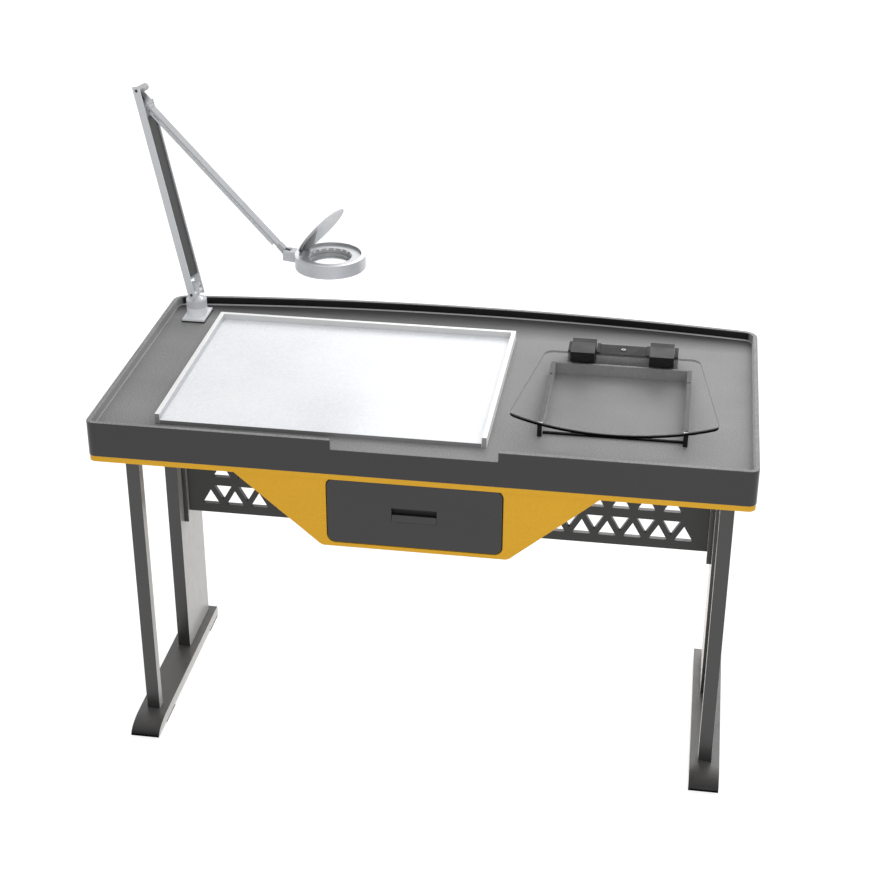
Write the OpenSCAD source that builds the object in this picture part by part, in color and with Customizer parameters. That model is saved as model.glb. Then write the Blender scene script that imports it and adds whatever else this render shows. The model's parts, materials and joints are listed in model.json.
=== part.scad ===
// Inspection bench with a light box let into its top, a swing-arm magnifier,
// a specimen tray under a hinged glass cover, and a drawer under the top.
// Millimetres, +Z up. The origin is on the floor, under the middle of the whole bench.

/* [Bench top] */
// Width of the top
top_w = 1200; // [1140:10:1300]
// Depth of the top at its centre line
top_d = 628; // [610:2:700]
// How far the back edge bows out at its centre
back_bow = 39; // [20:1:60]
// Radius of the back corners in plan
corner_r = 28; // [16:1:36]
// Radius of the front corners in plan
front_corner_r = 15; // [10:1:30]
// Height of the work surface above the floor
deck_z = 712; // [680:2:760]
// Thickness of the work surface
deck_t = 6; // [4:0.5:10]
// Height of the rim above the work surface
rim_h = 18; // [12:1:26]
// Thickness of the rim and of the skirt below it
rim_t = 9; // [7:0.5:12]
// Depth of the skirt below the work surface
skirt_h = 50.5; // [46:0.5:70]
// Width of the notch in the front rim
notch_w = 300; // [200:5:400]

/* [Base pan] */
// Height of the pan that closes the top from below
pan_h = 6.5; // [5:0.5:12]
// Thickness of the pan's sheet
pan_t = 2; // [1.5:0.5:3]
// How far the pan sits inside the skirt's outer face
pan_inset = 1; // [0.5:0.5:1.5]
// How far the pan's edge hangs below its sheet
pan_lip = 4; // [2:0.5:4.5]
// Thickness of the pan's upturned edge
pan_edge = 3; // [2:0.5:4]

/* [Drawer housing] */
// Width of the fascia along its top
fascia_top_w = 674; // [600:2:720]
// Width of the fascia along its bottom, before rounding
fascia_bottom_w = 341; // [332:1:360]
// Height of the fascia
fascia_h = 144; // [142:0.5:170]
// Thickness of the fascia
fascia_t = 14; // [10:1:18]
// How far the fascia and the drawer front sit behind the skirt's outer face
fascia_inset = 4.5; // [4.5:0.5:8]
// Radius of the fascia's lower corners
fascia_r = 18; // [6:1:18]
// Depth of the housing behind the fascia
housing_d = 318; // [312:1:326]
// Thickness of the housing's sheet
housing_t = 2.5; // [1.5:0.5:4]
// How far the housing steps in behind the fascia's outline
housing_step = 3; // [2:0.5:5]

/* [Drawer] */
// Width of the drawer front
drawer_w = 318; // [300:1:318]
// Height of the drawer front
drawer_h = 129.5; // [120:0.5:130]
// Thickness of the drawer front
drawer_front_t = 18; // [17:0.5:22]
// Radius of the drawer front's corners
drawer_r = 14; // [4:0.5:16]
// Gap from the base pan down to the drawer front
drawer_drop = 5; // [4:0.5:6]
// Gap round the drawer front
drawer_gap = 1.5; // [1:0.1:2]
// Length of the drawer box behind its front
drawer_box_d = 296; // [270:1:300]
// Height of the drawer box
drawer_box_h = 108; // [80:1:110]
// Thickness of the drawer box's sheet
drawer_box_t = 2.5; // [1.5:0.5:4]
// Width of the finger pull
pull_w = 82; // [60:1:120]
// Height of the finger pull
pull_h = 28; // [24:1:36]
// Depth of the finger pull's pocket
pull_d = 15; // [12:0.5:15]
// Height of the lip across the pocket's lower half
pull_lip_h = 13.5; // [10:0.5:14]
// Thickness of the lip
pull_lip_t = 3.5; // [2.5:0.5:4]
// How far the lip leans back at its top
pull_lip_lean = 2.5; // [1:0.5:4]

/* [Drawer runners] */
// Thickness of each runner, across the bench
runner_t = 12; // [10:1:14]
// Height of each runner
runner_h = 30; // [26:1:40]
// Thickness of the runner's lips above and below the slide
runner_lip = 5; // [3:0.5:7]
// Thickness of the runner's back
runner_back = 2.5; // [2:0.5:4]
// Thickness of the plate that hangs each runner from the base pan
hanger_t = 3; // [2:0.5:4]
// Clearance between a slide and its runner
slide_gap = 0.3; // [0.2:0.05:0.5]
// Side gap between the drawer box and the runners
box_gap = 1.5; // [1:0.1:3]

/* [Light box] */
// Width of the light box's frame
light_w = 607; // [500:1:640]
// Depth of the light box's frame
light_d = 466; // [400:1:480]
// Gap from the left edge of the top to the light box
light_in = 116.5; // [106:0.5:126]
// Gap from the front edge of the top to the light box
light_front = 49; // [40:1:60]
// Width of the frame's bars
light_bar = 9; // [6:0.5:12]
// Height of the frame above the work surface
light_frame_h = 20; // [16:0.5:26]
// Thickness of the diffuser plate
diffuser_t = 8; // [5:0.5:10]
// Width of the ledge that carries the diffuser
light_ledge = 15; // [10:1:25]
// Depth of the lamp tray under the work surface
light_tray_h = 24; // [18:1:26]
// Thickness of the lamp tray's sheet
light_tray_t = 2; // [1:0.5:3]
// Width of the lamp tray's flange
light_tray_flange = 20; // [12:1:24]
// Number of light strips in the tray
strip_count = 6; // [3:1:9]
// Width of a light strip
strip_w = 14; // [10:1:20]
// Thickness of a light strip
strip_t = 2; // [1.5:0.5:3]
// Gap from each end of a strip to the tray's wall
strip_end_gap = 12; // [6:1:30]
// Length of the power supply
driver_l = 160; // [120:1:200]
// Width of the power supply
driver_w = 50; // [40:1:60]
// Height of the power supply
driver_h = 22; // [16:1:26]
// Gap between the lamp tray's flange and the power supply
driver_gap = 8; // [4:1:20]

/* [Specimen tray] */
// Middle of the tray, right of the bench's centre line
tray_right = 341; // [325:1:360]
// Width of the tray between its side rails
tray_w = 251; // [230:1:270]
// Depth of the tray from its sill to its back
tray_d = 267; // [250:1:275]
// Gap from the front edge of the top to the tray
tray_front = 107.5; // [100:0.5:120]
// Width of the side rails
tray_rail_w = 8.5; // [6:0.5:12]
// Height of the side rails
tray_rail_h = 24; // [22:0.5:28]
// Thickness of the back wall
tray_back_t = 6; // [4:0.5:8]
// Height of the back wall
tray_back_h = 23; // [16:0.5:23.5]
// Depth of the front sill
sill_d = 5; // [4:0.5:8]
// Height of the front sill
sill_h = 4; // [3:0.5:6]
// How far the sill sits behind the rails' front ends
sill_setback = 12; // [8:1:20]
// Length of the rest pads on the rails
pad_l = 9; // [6:0.5:14]
// Thickness of the rest pads
pad_t = 1.5; // [1:0.5:3]
// Diameter of the rail screws
rail_screw_d = 4; // [3:0.5:5]
// Gap from a rail's front end to its front screw
rail_screw_front = 14; // [13:0.5:20]
// Gap from a rail's back end to its back screw
rail_screw_back = 52; // [30:1:70]
// Diameter of the rail screws' heads
rail_screw_head = 6; // [5:0.5:7]
// Height of the rail screws' heads
rail_screw_h = 0.8; // [0.4:0.1:0.9]
// Depth of the rail screws in the rails
rail_screw_l = 12; // [8:0.5:16]

/* [Glass cover] */
// Width of the glass along its back edge
glass_back_w = 295; // [280:1:310]
// Width of the glass at its front corners
glass_front_w = 378; // [360:1:390]
// Distance from the back edge to the front corners
glass_side_d = 281; // [270:1:290]
// How far the front edge bows out past the corners
glass_bow = 57; // [45:1:65]
// Thickness of the glass
glass_t = 4.5; // [4:0.5:6]
// Radius of the glass corners
glass_r = 19; // [8:1:22]
// How far the glass reaches behind the tray's back wall
glass_tail = 33; // [31:0.5:40]

/* [Cover hinge] */
// Length of the hinge bar
hinge_bar_l = 212; // [206:1:230]
// Depth of the hinge bar
hinge_bar_d = 44; // [36:1:50]
// Height of the hinge bar
hinge_bar_h = 28; // [26:0.5:30]
// Thickness of the bar's foot under the knuckles
hinge_foot = 5; // [3:0.5:6]
// How far the bar's ears stand above it
hinge_ear = 2; // [1:0.5:3]
// Length of the ears beside the knuckles
hinge_ear_l = 7; // [4:0.5:10]
// Diameter of the screw that holds the bar down
bar_screw_d = 4; // [3:0.5:5]
// Diameter of that screw's head
bar_screw_head = 9; // [7:0.5:11]
// Height of that screw's head
bar_screw_h = 1.5; // [1:0.5:2.5]
// Depth of that screw in the bar
bar_screw_l = 5; // [3:0.5:6]
// Gap between the glass and the hinge bar
hinge_bar_gap = 4; // [3:0.5:6]
// Height of the hinge pin above the work surface
hinge_pin_h = 16; // [15:0.5:17]
// Diameter of the hinge pin
hinge_pin_d = 8; // [6:0.5:10]
// Diameter of the barrels round the pin
barrel_d = 18; // [14:0.5:19]
// Distance from the middle of the tray to each knuckle
knuckle_out = 75; // [70:1:80]
// Width of each knuckle
knuckle_w = 46; // [40:1:46]
// Depth of each knuckle
knuckle_d = 68; // [62:1:72]
// Height of each knuckle above the glass
knuckle_h = 19.5; // [16:0.5:22]
// Gap between a knuckle's back and the hinge pin's axis
knuckle_setback = 2; // [1:0.5:6]
// Chamfer on the knuckle's upper back edge
knuckle_chamfer = 2; // [1:0.5:6]
// Thickness of the knuckle's arm in front of its barrel
knuckle_arm = 8; // [4:0.5:10]
// Gap at each side of a knuckle
knuckle_gap = 0.5; // [0.3:0.1:1]
// Thickness of the clamp plates under the glass
clamp_t = 3.5; // [2.5:0.5:4]
// Depth of the clamp plates
clamp_d = 26; // [24:1:28]
// Spacing of the clamp screws on each knuckle
clamp_pitch = 26; // [20:1:30]
// Diameter of the clamp screws
clamp_screw_d = 6; // [4:0.5:6]
// Diameter of the clamp screws' heads
clamp_head_d = 10; // [8:0.5:12]
// Height of the clamp screws' heads
clamp_head_h = 2.5; // [1.5:0.5:3]
// Gap between the clamp plates and the back edge of the glass
clamp_setback = 4; // [3:0.5:4]

/* [Leg frames] */
// Distance from the side edge of the top to the middle of each leg frame
leg_in = 45; // [40:1:80]
// Width of the legs
leg_w = 26; // [20:1:32]
// Depth of the front legs
front_leg_d = 20.5; // [16:0.5:30]
// Gap from the front edge of the top to the front legs
front_leg_y = 107.5; // [95:0.5:140]
// Depth of the rear posts
rear_post_d = 150; // [120:1:160]
// Gap from the front edge of the top to the rear posts
rear_post_y = 331.5; // [320:0.5:335]
// Thickness of the leg tubes
leg_wall = 2; // [1.5:0.5:3]
// Width of the feet
foot_w = 58; // [48:1:70]
// Length of the feet
foot_l = 453.5; // [450:0.5:480]
// Height of the feet, with their pads
foot_h = 25; // [20:0.5:32]
// Gap from the front edge of the top to the feet
foot_y = 42; // [30:1:60]
// Length of the feet's rounded noses
foot_nose = 56; // [20:1:62]
// Thickness of the feet's sheet
foot_t = 3; // [2:0.5:4]
// Thickness of the pads under the feet
foot_pad_t = 3; // [2:0.5:5]
// Length of the pads under the feet
foot_pad_l = 60; // [40:1:90]
// Width of the rails that join the legs under the pan
top_rail_w = 40; // [34:1:44]
// Thickness of the rails under the pan
top_rail_t = 4; // [3:0.5:6]
// How far the rails reach behind the rear posts
top_rail_lap = 8; // [0:1:20]
// Length of the rails under the pan
top_rail_l = 400; // [390:1:420]
// Diameter of the bolts that hold the rails
rail_bolt_d = 6; // [5:0.5:8]
// Width of the bolts' heads and nuts
bolt_head_d = 12; // [10:0.5:14]
// Height of the bolts' heads and nuts
bolt_head_h = 4; // [3:0.5:6]
// Distance from the front legs to the front bolts
bolt_in = 62; // [40:1:80]
// Distance from the rear posts to the back bolts
bolt_out = 42; // [30:1:60]

/* [Back panel] */
// Height of the panel's lower edge above the floor
panel_z = 346; // [300:1:400]
// Gap between the drawer housing's back and the panel
panel_gap = 28; // [25:0.5:38]
// Thickness of the panel
panel_t = 10; // [6:0.5:14]
// Number of upright triangles in a row
tri_count = 20; // [12:1:24]
// Number of rows of triangles
tri_rows = 4; // [2:1:4]
// Solid margin at each end of a row
tri_margin = 30; // [20:1:50]
// Height of a row of triangles
row_h = 43.5; // [40:0.5:46]
// Solid rail between two rows
row_rail = 20; // [12:0.5:21]
// Solid rail below the lowest row
bottom_rail = 20; // [14:0.5:30]
// Height of each triangle
tri_h = 32.5; // [24:0.5:34]
// Width of each triangle
tri_w = 37; // [28:0.5:38]
// Width of the brackets at the panel's ends
bracket_w = 10; // [6:0.5:14]
// Depth of the brackets
bracket_d = 25; // [20:1:30]
// How far the brackets reach below the panel
bracket_drop = 24; // [10:1:40]
// How far the brackets stand in front of the panel
bracket_front = 8.5; // [4:0.5:12]

/* [Magnifier stand] */
// Distance of the stand from the left edge of the top
lamp_in = 62; // [50:1:75]
// Distance of the stand from the back edge of the top, at its centre
lamp_back = 99; // [93:1:108]
// Width of the base plate
lamp_base_w = 46; // [40:1:50]
// Depth of the base plate
lamp_base_d = 66; // [50:1:70]
// Thickness of the base plate
lamp_base_t = 4; // [3:0.5:6]
// Thickness of the pad under the base plate
lamp_pad_t = 3; // [1:0.5:3]
// How far the pad shows round the plate
lamp_pad_lip = 1; // [0.5:0.5:2]
// Diameter of the turntable
turntable_d = 42; // [34:1:44]
// Height of the turntable's fixed half
turntable_h = 17; // [8:0.5:18]
// Drop from the lower pivot to the turntable's top
turntable_drop = 14; // [14:0.5:16]
// Diameter of the stud that the stand turns on
stud_d = 10; // [8:0.5:12]
// Height of the lower pivot above the work surface
shoulder_h = 54; // [46:1:70]
// Diameter of the tube that holds the lower pivot
tube_d = 15; // [14:0.5:18]
// Rise of the tube above the lower pivot
tube_rise = 21; // [16:1:21]
// Diameter of the collar on the tube's top
tube_collar_d = 19; // [18:0.5:22]
// Height of the collar on the tube's top
tube_collar_h = 4; // [2:0.5:6]
// Diameter of the tube's flared root
flare_d = 28; // [20:1:30]
// Height of the tube's flared root
flare_h = 7; // [4:0.5:10]

/* [Magnifier arms] */
// Direction of the arms, turned from the bench's width
lamp_heading = -15; // [-20:1:-5]
// Length of the lower arm between its pivots
lower_l = 425; // [380:1:440]
// Lean of the lower arm away from the head
lower_lean = 12.8; // [8:0.2:18]
// Width of the lower arm
lower_w = 37; // [33:1:40]
// Depth of the lower arm
lower_d = 16; // [15:0.5:20]
// Thickness of the lower arm's sheet
lower_t = 2; // [1.5:0.5:3]
// Length of the arm's open ends, past the pivots
arm_open = 26; // [24:1:32]
// Length of the lower arm left uncovered above its lower pivot
cover_low = 36; // [34:1:60]
// Length of the lower arm left uncovered below the elbow
cover_high = 58; // [56:1:80]
// Thickness of the dark cover in the lower arm
cover_t = 3; // [2:0.5:4]
// How far the dark cover sits inside the arm's mouth
cover_inset = 3; // [2:0.5:5]
// Length of the upper arm between its pivots
upper_l = 430; // [400:1:445]
// Drop of the upper arm below level
upper_angle = 41.7; // [36:0.1:43]
// Width of the upper arm
upper_w = 17; // [14:1:20]
// Depth of the upper arm
upper_d = 5; // [4:0.5:8]
// How far the upper arm's bar lies below the elbow's pivot
upper_sink = 13; // [10:0.5:14]
// Width of the upper arm's root, at the elbow
root_w = 24; // [20:1:28]
// Width of the upper arm's root, inside its barrel
root_end_w = 6; // [4:0.5:12]
// Depth of the upper arm's root, at the elbow
root_d = 10; // [8:0.5:12]
// Distance from the elbow to the upper arm's collar
collar_at = 32; // [28:1:36]
// Length of the collar
collar_l = 7; // [5:0.5:10]
// How far the collar stands proud of the arm
collar_lip = 1; // [0.5:0.5:1.5]
// Diameter of the rod under the upper arm
rod_d = 4.5; // [3:0.5:6]
// Gap between the upper arm and the rod
rod_gap = 2.5; // [2:0.5:4]
// How far the rod sits in front of the upper arm's middle
rod_side = 6; // [4:0.5:7]
// Length of the upper arm left without the rod at the elbow
rod_high = 44; // [42:1:80]
// Length of the upper arm left without the rod at the neck
rod_low = 34; // [32:1:80]
// Length of the rod's clips
clip_l = 8; // [5:0.5:12]
// Diameter of the arm pins
arm_pin_d = 6; // [5:0.5:7]
// How far the pins stand out of the arms and the neck
pin_proud = 0.6; // [0.2:0.2:2]
// Diameter of the barrels round the arm pins
arm_barrel_d = 14; // [12:0.5:14.5]

/* [Magnifier head] */
// Outer diameter of the head
head_d = 138; // [124:1:150]
// Height of the head
head_h = 26; // [24:0.5:32]
// Distance from the neck pivot to the middle of the head
head_reach = 93; // [90:1:105]
// How far the head's middle stands above the neck pivot
head_rise = 3; // [0:0.5:3]
// Diameter of the recess in the head's top
recess_d = 121; // [112:1:122]
// Depth of the recess
recess_h = 5; // [4:0.5:6]
// Diameter of the lens
lens_d = 84; // [60:1:88]
// Thickness of the lens at its edge
lens_edge = 5; // [4:0.5:6]
// How far the lens bulges at its middle
lens_bulge = 3; // [2:0.5:4]
// Width of the ledge under the lens
lens_ledge = 2; // [1.5:0.5:4]
// Height of the ledge under the lens
lens_seat = 3; // [2:0.5:4]
// Width of the ring that holds the lens down
retainer_w = 3; // [2:0.5:4]
// Height of the ring that holds the lens down
retainer_h = 3; // [2:0.5:4]
// Thickness of the wall round the lens
bore_wall = 4; // [3:0.5:6]
// Thickness of the head's outer wall
head_wall = 5; // [4:0.5:6]
// Depth of the pocket for the light ring
pocket_h = 10; // [8:0.5:12]
// Thickness of the light ring's board
board_t = 2; // [1.5:0.5:3]
// Number of lights on the ring
led_count = 18; // [8:1:24]
// Diameter of each light
led_d = 5; // [3:0.5:6]
// Height of each light
led_h = 1.5; // [1:0.5:2.5]
// Thickness of the light ring's clear cover
led_cover_t = 2; // [1.5:0.5:3]
// Length of the neck behind the pivot
neck_back = 6; // [5.5:0.5:10]
// Width of the neck
neck_w = 25; // [20:1:30]
// Height of the neck
neck_h = 20; // [18:0.5:20]
// Width of the tongue in the neck
tongue_w = 12; // [8:0.5:12]
// Length of the tongue
tongue_l = 26; // [22:1:32]
// Diameter of the neck pin
neck_pin_d = 5; // [4:0.5:6]
// Gap past the tongue's eye, at the slot's end
slot_gap = 1.5; // [1:0.5:3]
// Diameter of the tongue's eye
tongue_d = 11; // [10:0.5:12]

/* [Lens lid] */
// Gap between the lid's edge and the wall of the recess
lid_margin = 1; // [0.5:0.1:2]
// Thickness of the lid
lid_t = 2.4; // [2:0.2:3]
// Angle that the lid stands open
lid_open = 52; // [30:1:60]
// How far round the head the lid's hinge sits from the neck
lid_turn = 5; // [0:1:8]
// How far the closed lid's top lies below the head's top
lid_sink = 0.6; // [0.4:0.1:0.8]
// Gap between the closed lid and the recess's floor
lid_gap = 0.4; // [0.3:0.1:0.6]
// Inset of the stiffener from the lid's edge
stiffener_inset = 6; // [4:0.5:10]
// Distance from the lid's middle to the stiffener's edge
stiffener_edge = 17; // [4:0.5:20]
// Turn of the stiffener's edge from the line of the hinge
stiffener_turn = 53; // [0:1:60]
// Height of the lid's pin above the head
lid_pin_h = 1.2; // [1:0.1:1.8]
// Diameter of the lid's pin
lid_pin_d = 2.5; // [2:0.5:3]
// Diameter of the lid's barrel
lid_barrel_d = 5; // [4:0.5:5.5]
// Length of the lid's barrel
lid_barrel_l = 18; // [12:1:20]
// Length of the leaf that joins the barrel to the lid
lid_leaf = 12; // [8:0.5:20]
// Width of each ear beside the barrel
lid_ear_w = 5; // [4:0.5:6]

/* [Power inlet] */
// Width of the inlet's plate
inlet_w = 60; // [56:1:70]
// Height of the inlet's plate
inlet_h = 30; // [28:1:32]
// Thickness of the inlet's plate
inlet_t = 3; // [2:0.5:4]
// Depth of the inlet's body behind its plate
inlet_d = 24; // [20:1:30]
// Width of the socket
socket_w = 25; // [22:0.5:26]
// Height of the socket
socket_h = 17; // [15:0.5:18]
// Depth of the socket
socket_d = 16; // [14:0.5:18]
// Diameter of the switch's rocker
rocker_d = 16; // [12:0.5:16]
// Length of the switch's rocker
rocker_l = 12; // [9:0.5:12]
// Distance from the rocker's axle to its faces
rocker_face = 5; // [4:0.5:6]
// Clearance round the rocker
rocker_gap = 0.4; // [0.3:0.1:0.6]
// Tilt of the rocker to each side
rocker_tilt = 8; // [5:1:10]
// Diameter of the rocker's axle
axle_d = 3; // [2:0.5:4]
// Length of the axle at each end of the rocker
axle_l = 2.5; // [1.5:0.5:3]
// How far the plate sits inside the back skirt
inlet_sink = 3; // [2.5:0.5:4]
// Side margin of the plate round the inlet's body
inlet_lip_x = 4; // [3:0.5:5]
// Upper and lower margin of the plate round the inlet's body
inlet_lip_z = 3; // [2:0.5:4]
// Wall between the plate's edge and the socket or the rocker
inlet_wall = 7; // [6:0.5:9]
// Width of the socket's contacts
blade_w = 2; // [1.5:0.5:3]
// Height of the socket's contacts
blade_h = 4; // [3:0.5:5]
// Length of the socket's contacts
blade_l = 10; // [8:0.5:12]
// Spacing of the socket's contacts
blade_pitch = 7; // [6:0.5:8]

/* [Fits] */
// Radial clearance of a pin that turns
pin_fit = 0.05; // [0.02:0.01:0.1]
// Radial clearance of a pin that stays
seat_fit = 0.02; // [0.01:0.01:0.05]
// Side clearance between turning faces
side_fit = 0.2; // [0.1:0.05:0.4]
// Clearance between loose pieces of one assembly
loose_fit = 0.5; // [0.3:0.1:1]

/* [Hidden] */
$fn = 48;

// A cut runs this far past the face that it opens
over = 1;
// Steps along a rounded corner and along a long bow, and the least radius of a corner
corner_steps = 8;
bow_steps = 30;
corner_min = 4;

dark_grey = "#484848";
deep_grey = "#303030";
yellow = "#D5A232";
white = "#F2F2F2";
silver = "#B9BABC";
black = "#191919";
steel = "#9A9C9F";
glass_tint = "#C8D6D640";

// Heights, from the floor up
rim_z = deck_z + rim_h;
skirt_z = deck_z - skirt_h;
pan_z = skirt_z - pan_h;
rail_z = pan_z - top_rail_t;
bow_r = (pow(top_w / 2, 2) + pow(back_bow, 2)) / (2 * back_bow);

// Drawer
drawer_y = fascia_inset;
drawer_top = pan_z - drawer_drop;
drawer_z = drawer_top - drawer_h;
pull_z = drawer_z + (drawer_h - pull_h) / 2;
opening_w = drawer_w + 2 * drawer_gap;
runner_x = opening_w / 2 - runner_t;
box_w = 2 * (runner_x - box_gap);
box_y = drawer_y + drawer_front_t;
box_z = drawer_z + (drawer_h - drawer_box_h) / 2;
housing_y = fascia_inset + fascia_t;
housing_floor = pan_z - fascia_h + housing_step + housing_t;
runner_y = box_y + box_gap;
runner_l = housing_y + housing_d - housing_t - runner_y;
runner_z = drawer_z + (drawer_h - runner_h) / 2;
slide_h = runner_h - 2 * runner_lip - 2 * slide_gap;

// Light box
light_x = light_in - top_w / 2;
light_y = light_front;
window_w = light_w - 2 * light_bar - 2 * light_ledge;
window_d = light_d - light_bar - 2 * light_ledge;
window_x = light_x + light_bar + light_ledge;
window_y = light_y + light_ledge;
light_tray_z = deck_z - deck_t - light_tray_h;

// Specimen tray and glass cover
tray_x = tray_right - tray_w / 2;
glass_z = deck_z + tray_rail_h + pad_t;
knuckle_z = glass_z + glass_t;
glass_back = tray_front + tray_d + tray_back_t + glass_tail;
hinge_bar_y = glass_back + hinge_bar_gap;
hinge_y = hinge_bar_y + hinge_bar_d / 2;
hinge_z = deck_z + hinge_pin_h;
hinge_top = deck_z + hinge_bar_h;
knuckle_back = hinge_y - knuckle_setback;
knuckle_front = knuckle_back - knuckle_d;
notch_half = knuckle_w / 2 + knuckle_gap;
clamp_y = glass_back - clamp_d - clamp_setback;
clamp_screw_y = clamp_y + clamp_d / 2;
clamp_screw_top = knuckle_z + knuckle_h / 2;

// Leg frames and back panel
leg_z = foot_h;
leg_out = top_w / 2 - leg_in;
panel_w = 2 * (leg_out - leg_w / 2 - bracket_w);
panel_y = housing_y + housing_d + panel_gap;
tri_pitch = (panel_w - 2 * tri_margin - tri_w) / (tri_count - 1);
top_rail_y = rear_post_y + rear_post_d - top_rail_l + top_rail_lap;
bolt_ys = [front_leg_y + front_leg_d + bolt_in, rear_post_y - bolt_out];

// Magnifier stand and arms, in the stand's own frame: X towards the head, Z up
lamp_x = lamp_in - top_w / 2;
lamp_y = top_d - lamp_back;
lamp_base_z = deck_z + lamp_pad_t;
boss_z = lamp_base_z + lamp_base_t;
turn_z = boss_z + turntable_h;
shoulder_z = deck_z + shoulder_h;
turntable_z = shoulder_z - turntable_drop;
elbow_u = -lower_l * sin(lower_lean);
elbow_z = shoulder_z + lower_l * cos(lower_lean);
neck_u = elbow_u + upper_l * cos(upper_angle) - upper_sink * sin(upper_angle);
neck_z = elbow_z - upper_l * sin(upper_angle) - upper_sink * cos(upper_angle);
barrel_w = lower_w - 2 * lower_t - 2 * side_fit;

// Magnifier head, from the middle of its height
head_top = head_h / 2;
recess_floor = head_top - recess_h;
lens_z = -head_top + lens_seat;
lens_r = lens_d / 2 - pin_fit;
bulge_r = (pow(lens_r, 2) + pow(lens_bulge, 2)) / (2 * lens_bulge);
pocket_in = lens_d / 2 + bore_wall;
pocket_out = head_d / 2 - head_wall;
pocket_top = -head_top + pocket_h;
slot_end = tongue_d / 2 + slot_gap;
retainer_r = lens_d / 2 - retainer_w;
retainer_sag = bulge_r - sqrt(pow(bulge_r, 2) - pow(retainer_r, 2));
retainer_z = lens_z + lens_edge + lens_bulge - retainer_sag + seat_fit;
lid_z = head_top - lid_sink - lid_t;
stiffener_t = lid_z - recess_floor - lid_gap;
lid_d = recess_d - 2 * lid_margin;
lid_pin_out = recess_d / 2 - lid_margin - lid_barrel_d / 2;
lid_chord = lid_pin_out - lid_barrel_d / 2 - lid_margin;
lid_pin_z = head_top + lid_pin_h;

// Power inlet
inlet_z = skirt_z + skirt_h / 2 - deck_t / 2;
inlet_back = top_d - inlet_sink;
inlet_plate_y = inlet_back - inlet_t;
socket_x = inlet_w / 2 - socket_w / 2 - inlet_wall;
rocker_x = -inlet_w / 2 + rocker_l / 2 + inlet_wall + axle_l;
rocker_y = inlet_back - rocker_face;

// The whole bench's box, whose middle is the origin
elbow_reach = lower_d / 2 * (sin(lower_lean) + cos(lower_lean));
bench_left = lamp_x + (elbow_u - elbow_reach) * cos(lamp_heading) - lower_w / 2 * abs(sin(lamp_heading));
origin_x = (top_w / 2 + min(bench_left, -top_w / 2)) / 2;
origin_y = top_d / 2;

// Points of an arc round c from angle a0 to angle a1
function arc(c, r, a0, a1, n) =
    [for (i = [0:n])
        let (a = a0 + (a1 - a0) * i / n)
        c + r * [cos(a), sin(a)]];

function unit(v) = v / norm(v);
function turn(a) = a > 180 ? a - 360 : a < -180 ? a + 360 : a;

// Points that round the corner p between a and b
function round_corner(a, p, b, r) =
    let (u = unit(a - p), v = unit(b - p), half = acos(u * v) / 2)
    let (c = p + unit(u + v) * r / sin(half))
    let (s = p + u * r / tan(half) - c, e = p + v * r / tan(half) - c)
    let (from = atan2(s[1], s[0]), sweep = turn(atan2(e[1], e[0]) - from))
    arc(c, r, from, from + sweep, corner_steps);

// An outline of [x, y, radius] corners as plain points
function outline(corners) =
    let (n = len(corners), at = [for (k = corners) [k[0], k[1]]])
    [for (i = [0:n - 1])
        each corners[i][2] == 0 ? [at[i]]
            : round_corner(at[(i + n - 1) % n], at[i], at[(i + 1) % n], corners[i][2])];

// Corners of a rectangle that is rounded by r
function box_corners(x0, y0, x1, y1, r) = [[x0, y0, r], [x1, y0, r], [x1, y1, r], [x0, y1, r]];

// Corners of the top's plan, moved in by d
function plan_corners(d) =
    let (w = top_w / 2 - d, r = bow_r - d, c = top_d - bow_r, lean = asin(w / r))
    let (k = max(corner_r - d, corner_min), f = max(front_corner_r - d, corner_min))
    concat([[-w, d, f], [w, d, f]],
        [for (i = [0:bow_steps])
            let (a = 90 - lean + 2 * lean * i / bow_steps)
            [r * cos(a), c + r * sin(a), i == 0 || i == bow_steps ? k : 0]]);

// Corners of the fascia's outline, moved in by d and drawn up past the base pan by rise
function fascia_corners(d, rise = 0) =
    let (slope = (fascia_top_w - fascia_bottom_w) / 2 / fascia_h, side = d * sqrt(1 + slope * slope))
    let (low = fascia_bottom_w / 2 - side + slope * d, top = fascia_top_w / 2 - side + slope * rise)
    let (r = max(fascia_r - d, 2))
    let (z0 = pan_z - fascia_h + d, z1 = pan_z + rise)
    [[-top, z1, 0], [-low, z0, r], [low, z0, r], [top, z1, 0]];

// Corners of the glass cover
function glass_corners() =
    let (w = glass_front_w / 2, r = (pow(w, 2) + pow(glass_bow, 2)) / (2 * glass_bow), lean = asin(w / r))
    let (left = tray_right - glass_back_w / 2, right = tray_right + glass_back_w / 2)
    let (c = [tray_right, glass_back - glass_side_d - glass_bow + r])
    concat([[right, glass_back, glass_r], [left, glass_back, glass_r]],
        [for (i = [0:bow_steps / 2])
            let (a = 270 - lean + 4 * lean * i / bow_steps)
            [c[0] + r * cos(a), c[1] + r * sin(a), i == 0 || i == bow_steps / 2 ? glass_r : 0]]);

// Moves the bench from its front edge to its origin
module bench() {
    translate([-origin_x, -origin_y, 0])
        children();
}

// A cuboid between two corners
module block(low, high) {
    translate(low)
        cube(high - low);
}

// A flat plate of an outline between two heights
module plate(corners, z0, z1) {
    translate([0, 0, z0])
        linear_extrude(z1 - z0)
            polygon(outline(corners));
}

// An outline in X and Z, drawn from y0 to y1
module upright(corners, y0, y1) {
    translate([0, y1, 0])
        rotate([90, 0, 0])
            linear_extrude(y1 - y0)
                polygon(outline(corners));
}

// An outline in Y and Z, drawn from x0 to x1
module profile(corners, x0, x1) {
    translate([x0, 0, 0])
        rotate([90, 0, 90])
            linear_extrude(x1 - x0)
                polygon(outline(corners));
}

// A rod along X or along Y, from its middle
module rod_x(d, l) {
    rotate([0, 90, 0])
        cylinder(d = d, h = l, center = true);
}

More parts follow.
